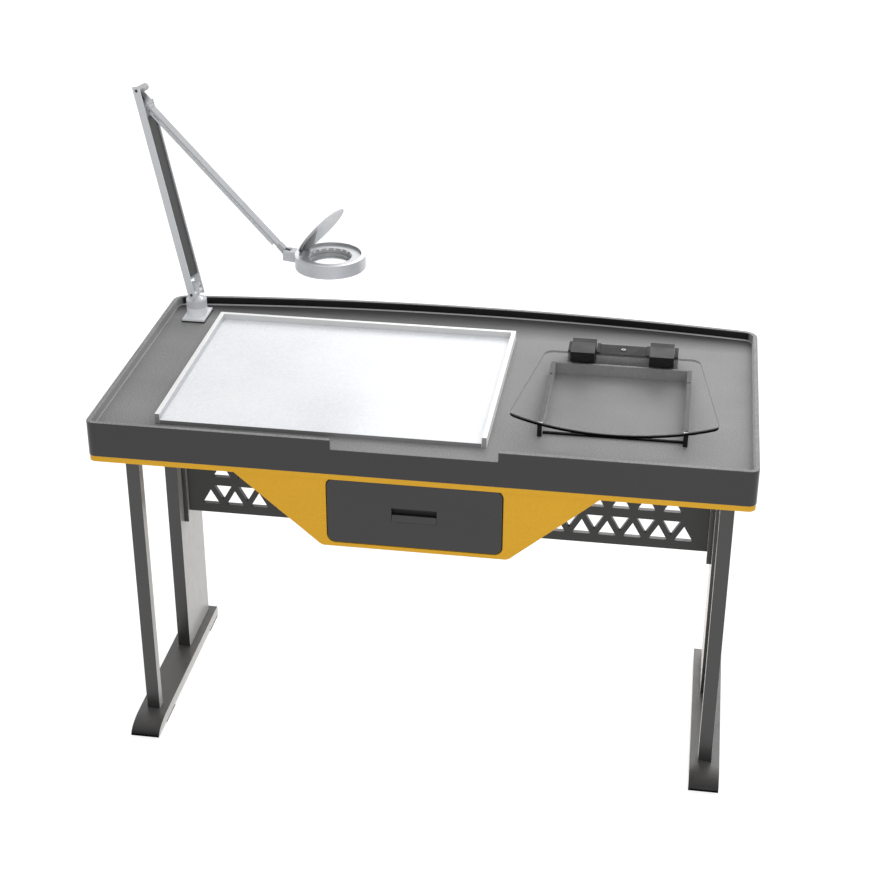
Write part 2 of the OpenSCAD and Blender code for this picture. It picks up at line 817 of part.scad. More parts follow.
module rod_y(d, l) {
    rotate([90, 0, 0])
        cylinder(d = d, h = l, center = true);
}

// A flat ring standing on z
module ring(d_out, d_in, z, h) {
    translate([0, 0, z])
        difference() {
            cylinder(d = d_out, h = h);
            translate([0, 0, -over])
                cylinder(d = d_in, h = h + 2 * over);
        }
}

// The stand's frame, then the frames of its arms, head and lid
module stand() {
    bench()
        translate([lamp_x, lamp_y, 0])
            rotate([0, 0, lamp_heading])
                children();
}

module lower_frame() {
    stand()
        translate([0, 0, shoulder_z])
            rotate([0, -lower_lean, 0])
                children();
}

module upper_frame() {
    stand()
        translate([elbow_u, 0, elbow_z])
            rotate([0, upper_angle, 0])
                children();
}

module neck_frame() {
    stand()
        translate([neck_u, 0, neck_z])
            children();
}

module head_frame() {
    neck_frame()
        translate([head_reach, 0, head_rise])
            children();
}

module lid_hinge() {
    head_frame()
        rotate([0, 0, -lid_turn])
            translate([-lid_pin_out, 0, lid_pin_z])
                children();
}

module lid_frame() {
    lid_hinge()
        rotate([0, -lid_open, 0])
            translate([lid_pin_out, 0, -lid_pin_z])
                children();
}

module top_shell() {
    color(dark_grey)
        bench()
            difference() {
                plate(plan_corners(0), skirt_z, rim_z);
                plate(plan_corners(rim_t), deck_z, rim_z + over);
                plate(plan_corners(rim_t), skirt_z - over, deck_z - deck_t);
                block([-notch_w / 2, -over, deck_z], [notch_w / 2, rim_t + over, rim_z + over]);
                block([window_x, window_y, skirt_z], [window_x + window_w, window_y + window_d, rim_z]);
                inlet_cut();
            }
}

// The hole for the power inlet in the back skirt, with a seat for its plate
module inlet_cut() {
    block([-inlet_w / 2 - loose_fit, inlet_plate_y, inlet_z - inlet_h / 2 - loose_fit],
        [inlet_w / 2 + loose_fit, top_d + over, inlet_z + inlet_h / 2 + loose_fit]);
    half_w = inlet_w / 2 - inlet_lip_x + loose_fit;
    half_h = inlet_h / 2 - inlet_lip_z + loose_fit;
    block([-half_w, top_d - 2 * rim_t, inlet_z - half_h], [half_w, top_d + over, inlet_z + half_h]);
}

module base_pan() {
    color(yellow)
        bench()
            difference() {
                plate(plan_corners(pan_inset), pan_z - pan_lip, skirt_z);
                plate(plan_corners(pan_inset + pan_edge), pan_z + pan_t, skirt_z + over);
                plate(plan_corners(pan_inset + pan_edge), pan_z - pan_lip - over, pan_z);
                for (side = [-1, 1], y = bolt_ys)
                    translate([side * leg_out, y, pan_z - over])
                        cylinder(d = rail_bolt_d + 2 * pin_fit, h = pan_t + 2 * over);
            }
}

module fascia() {
    color(yellow)
        bench()
            difference() {
                upright(fascia_corners(0), fascia_inset, housing_y);
                upright(box_corners(-opening_w / 2, drawer_z - drawer_gap,
                    opening_w / 2, drawer_top + drawer_gap, drawer_r + drawer_gap),
                    fascia_inset - over, housing_y + over);
            }
}

module drawer_housing() {
    color(yellow)
        bench()
            difference() {
                upright(fascia_corners(housing_step), housing_y, housing_y + housing_d);
                upright(fascia_corners(housing_step + housing_t, over), housing_y - over,
                    housing_y + housing_d - housing_t);
            }
}

// A channel that carries one slide, and the plate that hangs it from the base pan
module runner(side) {
    bench()
        mirror([side < 0 ? 1 : 0, 0, 0]) {
            difference() {
                block([runner_x, runner_y, runner_z],
                    [opening_w / 2, runner_y + runner_l, runner_z + runner_h]);
                block([runner_x - over, runner_y - over, runner_z + runner_lip],
                    [opening_w / 2 - runner_back, runner_y + runner_l + over,
                        runner_z + runner_h - runner_lip]);
            }
            block([opening_w / 2, runner_y, housing_floor],
                [opening_w / 2 + hanger_t, runner_y + runner_l, pan_z]);
        }
}

module runner_left() {
    color(steel)
        runner(-1);
}

module runner_right() {
    color(steel)
        runner(1);
}

module light_frame() {
    color(white)
        bench()
            difference() {
                block([light_x, light_y, deck_z],
                    [light_x + light_w, light_y + light_d, deck_z + light_frame_h]);
                block([light_x + light_bar, light_y - over, deck_z - over],
                    [light_x + light_w - light_bar, light_y + light_d - light_bar,
                        deck_z + light_frame_h + over]);
            }
}

module diffuser() {
    color(white)
        bench()
            block([light_x + light_bar, light_y, deck_z],
                [light_x + light_w - light_bar, light_y + light_d - light_bar, deck_z + diffuser_t]);
}

// The window in the work surface, grown by d, between two heights
module window(d, z0, z1) {
    block([window_x - d, window_y - d, z0], [window_x + window_w + d, window_y + window_d + d, z1]);
}

module light_tray() {
    color(white)
        bench()
            difference() {
                union() {
                    window(light_tray_t, light_tray_z, deck_z - deck_t);
                    window(light_tray_flange, deck_z - deck_t - light_tray_t, deck_z - deck_t);
                }
                window(0, light_tray_z + light_tray_t, deck_z);
            }
}

module light_strips() {
    pitch = window_d / strip_count;
    z = light_tray_z + light_tray_t;
    color("#F6F0D8")
        bench()
            for (i = [0:strip_count - 1]) {
                y = window_y + (i + 0.5) * pitch;
                block([window_x + strip_end_gap, y - strip_w / 2, z],
                    [window_x + window_w - strip_end_gap, y + strip_w / 2, z + strip_t]);
            }
}

module power_supply() {
    x = window_x + window_w + light_tray_flange + driver_gap;
    y = window_y + window_d / 2;
    color(silver)
        bench()
            block([x, y - driver_l / 2, pan_z + pan_t],
                [x + driver_w, y + driver_l / 2, pan_z + pan_t + driver_h]);
}

// The places of the rail screws
module at_rail_screws() {
    for (side = [-1, 1], y = [rail_screw_front, tray_d - rail_screw_back])
        translate([tray_right + side * (tray_w + tray_rail_w) / 2, tray_front + y, deck_z + tray_rail_h])
            children();
}

module tray_rails() {
    color(dark_grey)
        bench()
            difference() {
                for (x = [tray_x - tray_rail_w, tray_x + tray_w])
                    block([x, tray_front, deck_z],
                        [x + tray_rail_w, tray_front + tray_d, deck_z + tray_rail_h]);
                at_rail_screws()
                    translate([0, 0, -rail_screw_l - seat_fit])
                        cylinder(d = rail_screw_d + 2 * seat_fit, h = rail_screw_l + over);
            }
}

module tray_back() {
    y = tray_front + tray_d;
    color(dark_grey)
        bench()
            block([tray_x - tray_rail_w, y, deck_z],
                [tray_x + tray_w + tray_rail_w, y + tray_back_t, deck_z + tray_back_h]);
}

module tray_sill() {
    y = tray_front + sill_setback;
    color(deep_grey)
        bench()
            block([tray_x, y, deck_z], [tray_x + tray_w, y + sill_d, deck_z + sill_h]);
}

module tray_pads() {
    z = deck_z + tray_rail_h;
    color(white)
        bench()
            for (x = [tray_x - tray_rail_w, tray_x + tray_w])
                block([x, tray_front, z], [x + tray_rail_w, tray_front + pad_l, z + pad_t]);
}

module tray_screws() {
    color(black)
        bench()
            at_rail_screws() {
                cylinder(d = rail_screw_head, h = rail_screw_h);
                translate([0, 0, -rail_screw_l])
                    cylinder(d = rail_screw_d, h = rail_screw_l);
            }
}

// A raised part of the hinge bar, from x0 to x1 off the tray's middle
module hinge_rise(x0, x1, top) {
    block([tray_right + x0, hinge_bar_y, deck_z], [tray_right + x1, hinge_bar_y + hinge_bar_d, top]);
}

module hinge_bar() {
    inner = knuckle_out - notch_half;
    outer = knuckle_out + notch_half;
    end = hinge_bar_l / 2;
    color(dark_grey)
        bench()
            difference() {
                union() {
                    hinge_rise(-end, end, deck_z + hinge_foot);
                    hinge_rise(-inner, inner, hinge_top);
                    for (side = [-1, 1], x = [[inner - hinge_ear_l, inner], [outer, end]])
                        hinge_rise(min(side * x), max(side * x), hinge_top + hinge_ear);
                }
                translate([tray_right, hinge_y, hinge_z])
                    rod_x(hinge_pin_d + 2 * seat_fit, hinge_bar_l + 2 * over);
                translate([tray_right, hinge_y, hinge_top - bar_screw_l])
                    cylinder(d = bar_screw_d + 2 * seat_fit, h = bar_screw_l + over);
            }
}

module hinge_pin() {
    color(steel)
        bench()
            translate([tray_right, hinge_y, hinge_z])
                rod_x(hinge_pin_d, hinge_bar_l);
}

module hinge_screw() {
    color(silver)
        bench()
            translate([tray_right, hinge_y, hinge_top]) {
                cylinder(d = bar_screw_head, h = bar_screw_h);
                translate([0, 0, -bar_screw_l])
                    cylinder(d = bar_screw_d, h = bar_screw_l);
            }
}

// The places of the clamp screws, at height z, for one knuckle or for both
module at_clamp_screws(sides, z) {
    for (side = sides, off = [-clamp_pitch / 2, clamp_pitch / 2])
        translate([tray_right + side * knuckle_out + off, clamp_screw_y, z])
            children();
}

module cover_glass() {
    color(glass_tint)
        bench()
            difference() {
                plate(glass_corners(), glass_z, glass_z + glass_t);
                at_clamp_screws([-1, 1], glass_z - over)
                    cylinder(d = clamp_screw_d + 2 * seat_fit, h = glass_t + 2 * over);
            }
}

// A block on the glass, with an arm down to a barrel on the hinge pin
module knuckle(side) {
    x = tray_right + side * knuckle_out;
    top = knuckle_z + knuckle_h;
    corners = [[knuckle_front, knuckle_z, 0], [knuckle_back, knuckle_z, 0],
        [knuckle_back, top - knuckle_chamfer, 0], [knuckle_back - knuckle_chamfer, top, 0],
        [knuckle_front, top, 0]];
    bench()
        difference() {
            union() {
                profile(corners, x - knuckle_w / 2, x + knuckle_w / 2);
                block([x - knuckle_w / 2, hinge_y - barrel_d / 2 - knuckle_arm, hinge_z],
                    [x + knuckle_w / 2, knuckle_back, knuckle_z]);
                translate([x, hinge_y, hinge_z])
                    rod_x(barrel_d, knuckle_w);
            }
            translate([x, hinge_y, hinge_z])
                rod_x(hinge_pin_d + 2 * pin_fit, knuckle_w + 2 * over);
            at_clamp_screws([side], knuckle_z - over)
                cylinder(d = clamp_screw_d + 2 * seat_fit, h = clamp_screw_top - knuckle_z + over);
        }
}

module knuckle_left() {
    color(dark_grey)
        knuckle(-1);
}

module knuckle_right() {
    color(dark_grey)
        knuckle(1);
}

module clamp_plates() {
    color(deep_grey)
        bench()
            difference() {
                for (side = [-1, 1]) {
                    x = tray_right + side * knuckle_out - knuckle_w / 2;
                    block([x, clamp_y, glass_z - clamp_t], [x + knuckle_w, clamp_y + clamp_d, glass_z]);
                }
                at_clamp_screws([-1, 1], glass_z - clamp_t - over)
                    cylinder(d = clamp_screw_d + 2 * seat_fit, h = clamp_t + 2 * over);
            }
}

module clamp_screws() {
    color(black)
        bench()
            at_clamp_screws([-1, 1], glass_z - clamp_t) {
                translate([0, 0, -clamp_head_h])
                    cylinder(d = clamp_head_d, h = clamp_head_h);
                cylinder(d = clamp_screw_d, h = clamp_screw_top - glass_z + clamp_t - seat_fit);
            }
}

module lamp_pad() {
    w = lamp_base_w / 2 + lamp_pad_lip;
    d = lamp_base_d / 2 + lamp_pad_lip;
    color(black)
        bench()
            block([lamp_x - w, lamp_y - d, deck_z], [lamp_x + w, lamp_y + d, lamp_base_z]);
}

module lamp_base() {
    color(silver)
        bench()
            translate([lamp_x, lamp_y, lamp_base_z])
                difference() {
                    union() {
                        block([-lamp_base_w / 2, -lamp_base_d / 2, 0],
                            [lamp_base_w / 2, lamp_base_d / 2, lamp_base_t]);
                        cylinder(d = turntable_d, h = turn_z - lamp_base_z);
                    }
                    translate([0, 0, -over])
                        cylinder(d = stud_d + 2 * pin_fit, h = turn_z - lamp_base_z + 2 * over);
                }
}

// A sheet channel with its mouth down and a rounded nose
module foot(side) {
    x = side * leg_out;
    nose = [for (i = [corner_steps:-1:0])
        let (a = 90 * i / corner_steps)
        [foot_y + foot_nose * (1 - cos(a)), foot_pad_t + (foot_h - foot_pad_t) * sin(a), 0]];
    corners = concat([[foot_y + foot_l, foot_pad_t, 0], [foot_y + foot_l, foot_h, foot_t]], nose);
    bench()
        difference() {
            profile(corners, x - foot_w / 2, x + foot_w / 2);
            block([x - foot_w / 2 + foot_t, foot_y + foot_nose, 0],
                [x + foot_w / 2 - foot_t, foot_y + foot_l - foot_t, foot_h - foot_t]);
        }
}

module foot_left() {
    color(dark_grey)
        foot(-1);
}

module foot_right() {
    color(dark_grey)
        foot(1);
}

// A rubber pad under each end of each foot, with a plug up inside the foot
module foot_pads() {
    plug_w = foot_w / 2 - foot_t - loose_fit;
    front = foot_y + foot_nose + loose_fit;
    back = foot_y + foot_l - foot_t - loose_fit - foot_pad_l;
    color(black)
        bench()
            for (side = [-1, 1], y = [front, back]) {
                x = side * leg_out;
                block([x - foot_w / 2, y, 0], [x + foot_w / 2, y + foot_pad_l, foot_pad_t]);
                block([x - plug_w, y, 0], [x + plug_w, y + foot_pad_l, foot_h - foot_t - loose_fit]);
            }
}

// A rectangular tube from the foot to the rail under the pan
module leg(side, y, d) {
    x = side * leg_out;
    bench()
        difference() {
            block([x - leg_w / 2, y, leg_z], [x + leg_w / 2, y + d, rail_z]);
            block([x - leg_w / 2 + leg_wall, y + leg_wall, leg_z - over],
                [x + leg_w / 2 - leg_wall, y + d - leg_wall, rail_z + over]);
        }
}

module front_leg_left() {
    color(dark_grey)
        leg(-1, front_leg_y, front_leg_d);
}

module front_leg_right() {
    color(dark_grey)
        leg(1, front_leg_y, front_leg_d);
}

module rear_post_left() {
    color(dark_grey)
        leg(-1, rear_post_y, rear_post_d);
}

module rear_post_right() {
    color(dark_grey)
        leg(1, rear_post_y, rear_post_d);
}

// The flat rail that joins the legs of one frame and bolts to the pan
module top_rail(side) {
    x = side * leg_out;
    bench()
        difference() {
            block([x - top_rail_w / 2, top_rail_y, rail_z],
                [x + top_rail_w / 2, top_rail_y + top_rail_l, pan_z]);
            for (y = bolt_ys)
                translate([x, y, rail_z - over])
                    cylinder(d = rail_bolt_d + 2 * pin_fit, h = top_rail_t + 2 * over);
        }
}

module top_rail_left() {
    color(dark_grey)
        top_rail(-1);
}

module top_rail_right() {
    color(dark_grey)
        top_rail(1);
}

module rail_bolts() {
    nut_z = pan_z + pan_t;
    color(steel)
        bench()
            for (side = [-1, 1], y = bolt_ys)
                translate([side * leg_out, y, 0]) {
                    translate([0, 0, rail_z - bolt_head_h])
                        cylinder(d = bolt_head_d, h = bolt_head_h, $fn = 6);
                    translate([0, 0, rail_z])
                        cylinder(d = rail_bolt_d, h = nut_z - rail_z);
                    translate([0, 0, nut_z])
                        cylinder(d = bolt_head_d, h = bolt_head_h, $fn = 6);
                }
}

// A triangular hole of the back panel, standing up or hanging down from z
module triangle(x, z, way) {
    polygon([[x - tri_w / 2, z], [x + tri_w / 2, z], [x, z + way * tri_h]]);
}

module back_panel() {
    first = -tri_pitch * (tri_count - 1) / 2;
    color(dark_grey)
        bench()
            translate([0, panel_y + panel_t, 0])
                rotate([90, 0, 0])
                    linear_extrude(panel_t)
                        difference() {
                            translate([-panel_w / 2, panel_z])
                                square([panel_w, pan_z - panel_z]);
                            for (row = [0:tri_rows - 1]) {
                                z = panel_z + bottom_rail + row * (row_h + row_rail);
                                odd = row % 2;
                                for (i = [0:tri_count - 1 - odd])
                                    triangle(first + (i + odd / 2) * tri_pitch, z, 1);
                                for (i = [0:tri_count - 2 + odd])
                                    triangle(first + (i + 0.5 - odd / 2) * tri_pitch, z + row_h, -1);
                            }
                        }
}

module bracket(side) {
    y = panel_y - bracket_front;
    bench()
        mirror([side < 0 ? 1 : 0, 0, 0])
            block([panel_w / 2, y, panel_z - bracket_drop],
                [panel_w / 2 + bracket_w, y + bracket_d, rail_z]);
}

module bracket_left() {
    color(dark_grey)
        bracket(-1);
}

module bracket_right() {
    color(dark_grey)
        bracket(1);
}

module power_inlet() {
    body_w = inlet_w / 2 - inlet_lip_x;
    body_h = inlet_h / 2 - inlet_lip_z;
    floor_y = inlet_back - socket_d;
    color(black)
        bench()
            translate([0, 0, inlet_z]) {
                difference() {
                    union() {
                        block([-inlet_w / 2, inlet_plate_y, -inlet_h / 2],
                            [inlet_w / 2, inlet_back, inlet_h / 2]);
                        block([-body_w, inlet_plate_y - inlet_d, -body_h], [body_w, inlet_plate_y, body_h]);
                    }
                    block([socket_x - socket_w / 2, floor_y, -socket_h / 2],
                        [socket_x + socket_w / 2, inlet_back + over, socket_h / 2]);
                    translate([rocker_x, rocker_y, 0]) {
                        rod_x(rocker_d + 2 * rocker_gap, rocker_l + 2 * rocker_gap);
                        rod_x(axle_d + 2 * pin_fit, rocker_l + 2 * axle_l + 2 * rocker_gap);
                    }
                }
                for (k = [-1, 0, 1])
                    block([socket_x + k * blade_pitch - blade_w / 2, floor_y - over, -blade_h / 2],
                        [socket_x + k * blade_pitch + blade_w / 2, floor_y + blade_l, blade_h / 2]);
            }
}

module power_switch() {
    r = rocker_d / 2;
    rise = r * tan(rocker_tilt);
    color(deep_grey)
        bench()
            translate([rocker_x, rocker_y, inlet_z])
                rotate([rocker_tilt, 0, 0]) {
                    difference() {
                        rod_x(rocker_d, rocker_l);
                        profile([[rocker_face, 0, 0], [rocker_face + rise, r, 0], [2 * rocker_d, r, 0],
                            [2 * rocker_d, -r, 0], [rocker_face + rise, -r, 0]], -rocker_l, rocker_l);
                    }
                    rod_x(axle_d, rocker_l + 2 * axle_l);
                }
}

module drawer_front() {
    color(dark_grey)
        bench()
            difference() {
                upright(box_corners(-drawer_w / 2, drawer_z, drawer_w / 2, drawer_top, drawer_r),
                    drawer_y, drawer_y + drawer_front_t);
                block([-pull_w / 2, drawer_y - over, pull_z],
                    [pull_w / 2, drawer_y + pull_d, pull_z + pull_h]);
            }
}

// The lip that the fingers hook behind
module drawer_pull() {
    top = pull_z + pull_lip_h;
    color(deep_grey)
        bench()
            profile([[drawer_y, pull_z, 0], [drawer_y + pull_lip_t, pull_z, 0],
                [drawer_y + pull_lip_t + pull_lip_lean, top, 0], [drawer_y + pull_lip_lean, top, 0]],
                -pull_w / 2, pull_w / 2);
}

module drawer_box() {
    t = drawer_box_t;
    color(steel)
        bench()
            difference() {
                block([-box_w / 2, box_y, box_z], [box_w / 2, box_y + drawer_box_d, box_z + drawer_box_h]);
                block([-box_w / 2 + t, box_y + t, box_z + t],
                    [box_w / 2 - t, box_y + drawer_box_d - t, box_z + drawer_box_h + over]);
            }
}

module drawer_slides() {
    z = runner_z + runner_lip + slide_gap;
    color(silver)
        bench()
            for (side = [0, 1])
                mirror([side, 0, 0])
                    block([box_w / 2, runner_y, z],
                        [opening_w / 2 - runner_back - loose_fit, box_y + drawer_box_d, z + slide_h]);
}

module swivel_post() {
    color(silver)
        stand()
            difference() {
                union() {
                    translate([0, 0, lamp_base_z + loose_fit])
                        cylinder(d = stud_d, h = turn_z - lamp_base_z);
                    translate([0, 0, turn_z])
                        cylinder(d = turntable_d, h = turntable_z - turn_z);
                    translate([0, 0, turntable_z])
                        cylinder(d1 = flare_d, d2 = tube_d, h = flare_h);
                    translate([0, 0, turntable_z])
                        cylinder(d = tube_d, h = turntable_drop + tube_rise);
                    translate([0, 0, shoulder_z + tube_rise - tube_collar_h])
                        cylinder(d = tube_collar_d, h = tube_collar_h);
                    translate([0, 0, shoulder_z])
                        rod_y(arm_barrel_d, barrel_w);
                }
                translate([0, 0, shoulder_z])
                    rod_y(arm_pin_d + 2 * pin_fit, lower_w);
            }
}

// A channel with its mouth towards the head, its back cut away at both pivots and its far side at the elbow
module lower_arm() {
    d = lower_d / 2;
    w = lower_w / 2;
    inside = w - lower_t;
    end = lower_l + d;
    color(silver)
        lower_frame()
            difference() {
                block([-d, -w, -d], [d, w, end]);
                block([-d + lower_t, -inside, -d - over], [d + over, inside, end + over]);
                block([-d - over, -inside, -d - over], [d, inside, arm_open]);
                block([-d - over, -inside, lower_l - arm_open], [d + over, w + over, end + over]);
                for (z = [0, lower_l])
                    translate([0, 0, z])
                        rod_y(arm_pin_d + 2 * seat_fit, lower_w + 2 * over);
            }
}

module arm_cover() {
    face = lower_d / 2 - cover_inset;
    w = lower_w / 2 - lower_t;
    color(dark_grey)
        lower_frame()
            block([face - cover_t, -w, cover_low], [face, w, lower_l - cover_high]);
}

module arm_pins() {
    color(black)
        lower_frame()
            for (z = [0, lower_l])
                translate([0, 0, z])
                    rod_y(arm_pin_d, lower_w + 2 * pin_proud);
}

// A flat bar, joined by a sloping root to its barrel at the elbow
module upper_arm() {
    bar_end = upper_l - tongue_l;
    eye_w = tongue_w - 2 * side_fit;
    w = upper_w / 2;
    d = upper_d / 2;
    root = root_d / 2;
    color(silver)
        upper_frame()
            difference() {
                union() {
                    rod_y(arm_barrel_d, barrel_w);
                    intersection() {
                        upright([[0, -root, 0], [collar_at, -upper_sink - root, 0],
                            [collar_at, root - upper_sink, 0], [0, root, 0]], -root_w / 2, root_w / 2);
                        plate([[0, -root_w / 2, 0], [collar_at, -root_w / 2, 0],
                            [collar_at, root_w / 2, 0], [0, root_end_w - root_w / 2, 0]],
                            -upper_sink - root_d, root_d);
                    }
                    translate([0, 0, -upper_sink]) {
                        block([collar_at, -w - collar_lip, -d - collar_lip],
                            [collar_at + collar_l, w + collar_lip, d + collar_lip]);
                        block([collar_at, -w, -d], [bar_end, w, d]);
                        block([bar_end, -eye_w / 2, -tongue_d / 2], [upper_l, eye_w / 2, tongue_d / 2]);
                        translate([upper_l, 0, 0])
                            rod_y(tongue_d, eye_w);
                    }
                }
                rod_y(arm_pin_d + 2 * pin_fit, lower_w);
                translate([upper_l, 0, -upper_sink])
                    rod_y(neck_pin_d + 2 * pin_fit, lower_w);
            }
}

module arm_rod() {
    under = -upper_sink - upper_d / 2;
    z = under - rod_gap - rod_d / 2;
    end = upper_l - rod_low;
    color(silver)
        upper_frame()
            translate([0, -rod_side, 0]) {
                translate([(rod_high + end) / 2, 0, z])
                    rod_x(rod_d, end - rod_high);
                for (x = [rod_high, end - clip_l])
                    block([x, -rod_d / 2, z], [x + clip_l, rod_d / 2, under]);
            }
}

module neck_block() {
    color(silver)
        neck_frame()
            difference() {
                block([-neck_back, -neck_w / 2, -neck_h / 2],
                    [head_reach - head_d / 2 + head_wall, neck_w / 2, neck_h / 2]);
                block([-neck_back - over, -tongue_w / 2, -neck_h], [slot_end, tongue_w / 2, neck_h]);
                translate([head_reach, 0, 0])
                    cylinder(d = head_d + 2 * seat_fit, h = 2 * head_h, center = true);
                rod_y(neck_pin_d + 2 * seat_fit, neck_w + 2 * over);
            }
}

module head_ring() {
    pocket_w = 2 * pocket_out;
    ear_y = lid_barrel_l / 2 + side_fit;
    ear_h = lid_pin_h + recess_h;
    color(silver) {
        head_frame()
            difference() {
                cylinder(d = head_d, h = head_h, center = true);
                translate([0, 0, recess_floor])
                    cylinder(d = recess_d, h = recess_h + over);
                translate([0, 0, lens_z])
                    cylinder(d = lens_d, h = head_h);
                cylinder(d = lens_d - 2 * lens_ledge, h = 2 * head_h, center = true);
                ring(pocket_w, 2 * pocket_in, -head_top - over, pocket_h + over);
            }
        lid_hinge()
            for (side = [0, 1])
                mirror([0, side, 0])
                    difference() {
                        union() {
                            block([-lid_barrel_d / 2, ear_y, -ear_h],
                                [lid_barrel_d / 2, ear_y + lid_ear_w, 0]);
                            translate([0, ear_y + lid_ear_w / 2, 0])
                                rod_y(lid_barrel_d, lid_ear_w);
                        }
                        rod_y(lid_pin_d + 2 * seat_fit, head_d);
                    }
    }
}

module led_ring() {
    d_out = 2 * (pocket_out - loose_fit);
    d_in = 2 * (pocket_in + loose_fit);
    z = pocket_top - board_t;
    color(white)
        head_frame() {
            ring(d_out, d_in, z, board_t);
            for (i = [0:led_count - 1])
                rotate([0, 0, i * 360 / led_count])
                    translate([(d_out + d_in) / 4, 0, z - led_h])
                        cylinder(d = led_d, h = led_h + board_t / 2);
        }
}

module led_cover() {
    color(white)
        head_frame()
            ring(2 * (pocket_out - pin_fit), 2 * (pocket_in + pin_fit), -head_top, led_cover_t);
}

// A lens with a flat underside and a domed top
module lens() {
    lean = asin(lens_r / bulge_r);
    dome = arc([0, lens_edge + lens_bulge - bulge_r], bulge_r, 90 - lean, 90, corner_steps);
    color(glass_tint)
        head_frame()
            translate([0, 0, lens_z])
                rotate_extrude()
                    polygon(concat([[0, 0], [lens_r, 0]], dome));
}

module lens_retainer() {
    color(steel)
        head_frame()
            ring(lens_d - 2 * pin_fit, 2 * retainer_r, retainer_z, retainer_h);
}

module head_pins() {
    color(black) {
        neck_frame()
            rod_y(neck_pin_d, neck_w + 2 * pin_proud);
        lid_hinge()
            rod_y(lid_pin_d, lid_barrel_l + 2 * side_fit + 2 * lid_ear_w);
    }
}

// A disc cut off along its hinge, with a half-round stiffener below and a leaf to its barrel
module lens_lid() {
    w = lid_barrel_l / 2;
    color(silver)
        lid_frame()
            difference() {
                union() {
                    difference() {
                        union() {
                            translate([0, 0, lid_z])
                                cylinder(d = lid_d, h = lid_t);
                            lid_stiffener();
                        }
                        block([-lid_d, -lid_d, lid_z - lid_t], [-lid_chord, lid_d, lid_z + 2 * lid_t]);
                    }
                    block([-lid_pin_out, -w, lid_z], [lid_leaf - lid_pin_out, w, lid_pin_z]);
                    translate([-lid_pin_out, 0, lid_pin_z])
                        rod_y(lid_barrel_d, lid_barrel_l);
                }
                translate([-lid_pin_out, 0, lid_pin_z])
                    rod_y(lid_pin_d + 2 * pin_fit, lid_barrel_l + 2 * over);
            }
}

module lid_stiffener() {
    difference() {
        translate([0, 0, lid_z - stiffener_t])
            cylinder(d = lid_d - 2 * stiffener_inset, h = stiffener_t);
        rotate([0, 0, stiffener_turn])
            block([-stiffener_edge, -lid_d, lid_z - 2 * stiffener_t], [lid_d, lid_d, lid_z]);
    }
}

top_shell();
base_pan();
fascia();
drawer_housing();
runner_left();
runner_right();
light_frame();
diffuser();
light_tray();
light_strips();
power_supply();
tray_rails();
tray_back();
tray_sill();
tray_pads();
tray_screws();
hinge_bar();
hinge_pin();
hinge_screw();
lamp_pad();
lamp_base();
foot_left();
foot_right();
front_leg_left();
front_leg_right();
rear_post_left();
rear_post_right();
foot_pads();
top_rail_left();
top_rail_right();
rail_bolts();
back_panel();
bracket_left();
bracket_right();
power_inlet();
power_switch();
drawer_front();
drawer_pull();
drawer_box();
drawer_slides();
cover_glass();
knuckle_left();
knuckle_right();
clamp_plates();
clamp_screws();
swivel_post();
lower_arm();
arm_cover();
arm_pins();
upper_arm();
arm_rod();
neck_block();
head_ring();
led_ring();
led_cover();
lens();
lens_retainer();
head_pins();
lens_lid();
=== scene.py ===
import json
import math

import bmesh
import bpy
from mathutils import Matrix, Vector


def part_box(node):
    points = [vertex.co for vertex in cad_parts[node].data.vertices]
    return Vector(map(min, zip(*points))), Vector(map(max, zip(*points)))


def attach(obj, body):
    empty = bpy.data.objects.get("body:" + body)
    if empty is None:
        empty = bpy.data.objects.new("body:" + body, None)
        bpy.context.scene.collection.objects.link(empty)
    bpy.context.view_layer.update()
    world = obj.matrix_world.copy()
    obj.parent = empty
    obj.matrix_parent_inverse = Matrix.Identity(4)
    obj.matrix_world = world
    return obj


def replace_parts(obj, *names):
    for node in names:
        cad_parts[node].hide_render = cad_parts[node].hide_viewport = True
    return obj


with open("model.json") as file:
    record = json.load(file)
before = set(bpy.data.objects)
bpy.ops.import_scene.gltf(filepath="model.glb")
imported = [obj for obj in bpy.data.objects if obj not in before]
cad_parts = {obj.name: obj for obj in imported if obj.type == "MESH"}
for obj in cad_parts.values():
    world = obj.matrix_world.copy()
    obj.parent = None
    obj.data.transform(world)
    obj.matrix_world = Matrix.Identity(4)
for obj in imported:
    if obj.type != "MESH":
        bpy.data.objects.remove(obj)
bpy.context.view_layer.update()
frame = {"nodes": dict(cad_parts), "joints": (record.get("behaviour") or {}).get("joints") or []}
NODES = frame["nodes"]
JOINTS = {joint["name"]: joint for joint in frame["joints"]}
MM = 0.001
ORIGIN = Vector((0, 0, 0))
RIGHT = Vector((1, 0, 0))
FRONT = Vector((0, -1, 0))
UP = Vector((0, 0, 1))


def srgb(red, green, blue):
    """A display colour, 0 to 255, as the linear colour that a shader takes."""
    def linear(value):
        value /= 255
        return value / 12.92 if value <= 0.04045 else ((value + 0.055) / 1.055) ** 2.4
    return (linear(red), linear(green), linear(blue), 1.0)


def grey(level):
    return srgb(level, level, level)


def scaled(colour, factor):
    return tuple(min(1.0, part * factor) for part in colour[:3]) + (1.0,)


# Camera: the photo's viewing angle
CAMERA_PLACE = Vector((0.469649, -2.985394, 2.172467))
CAMERA_YAW = math.radians(8.679)
CAMERA_PITCH = math.radians(-27.681)
CAMERA_ROLL = math.radians(0.157)
CAMERA_LENS = 72.36
SENSOR_WIDTH = 36.0


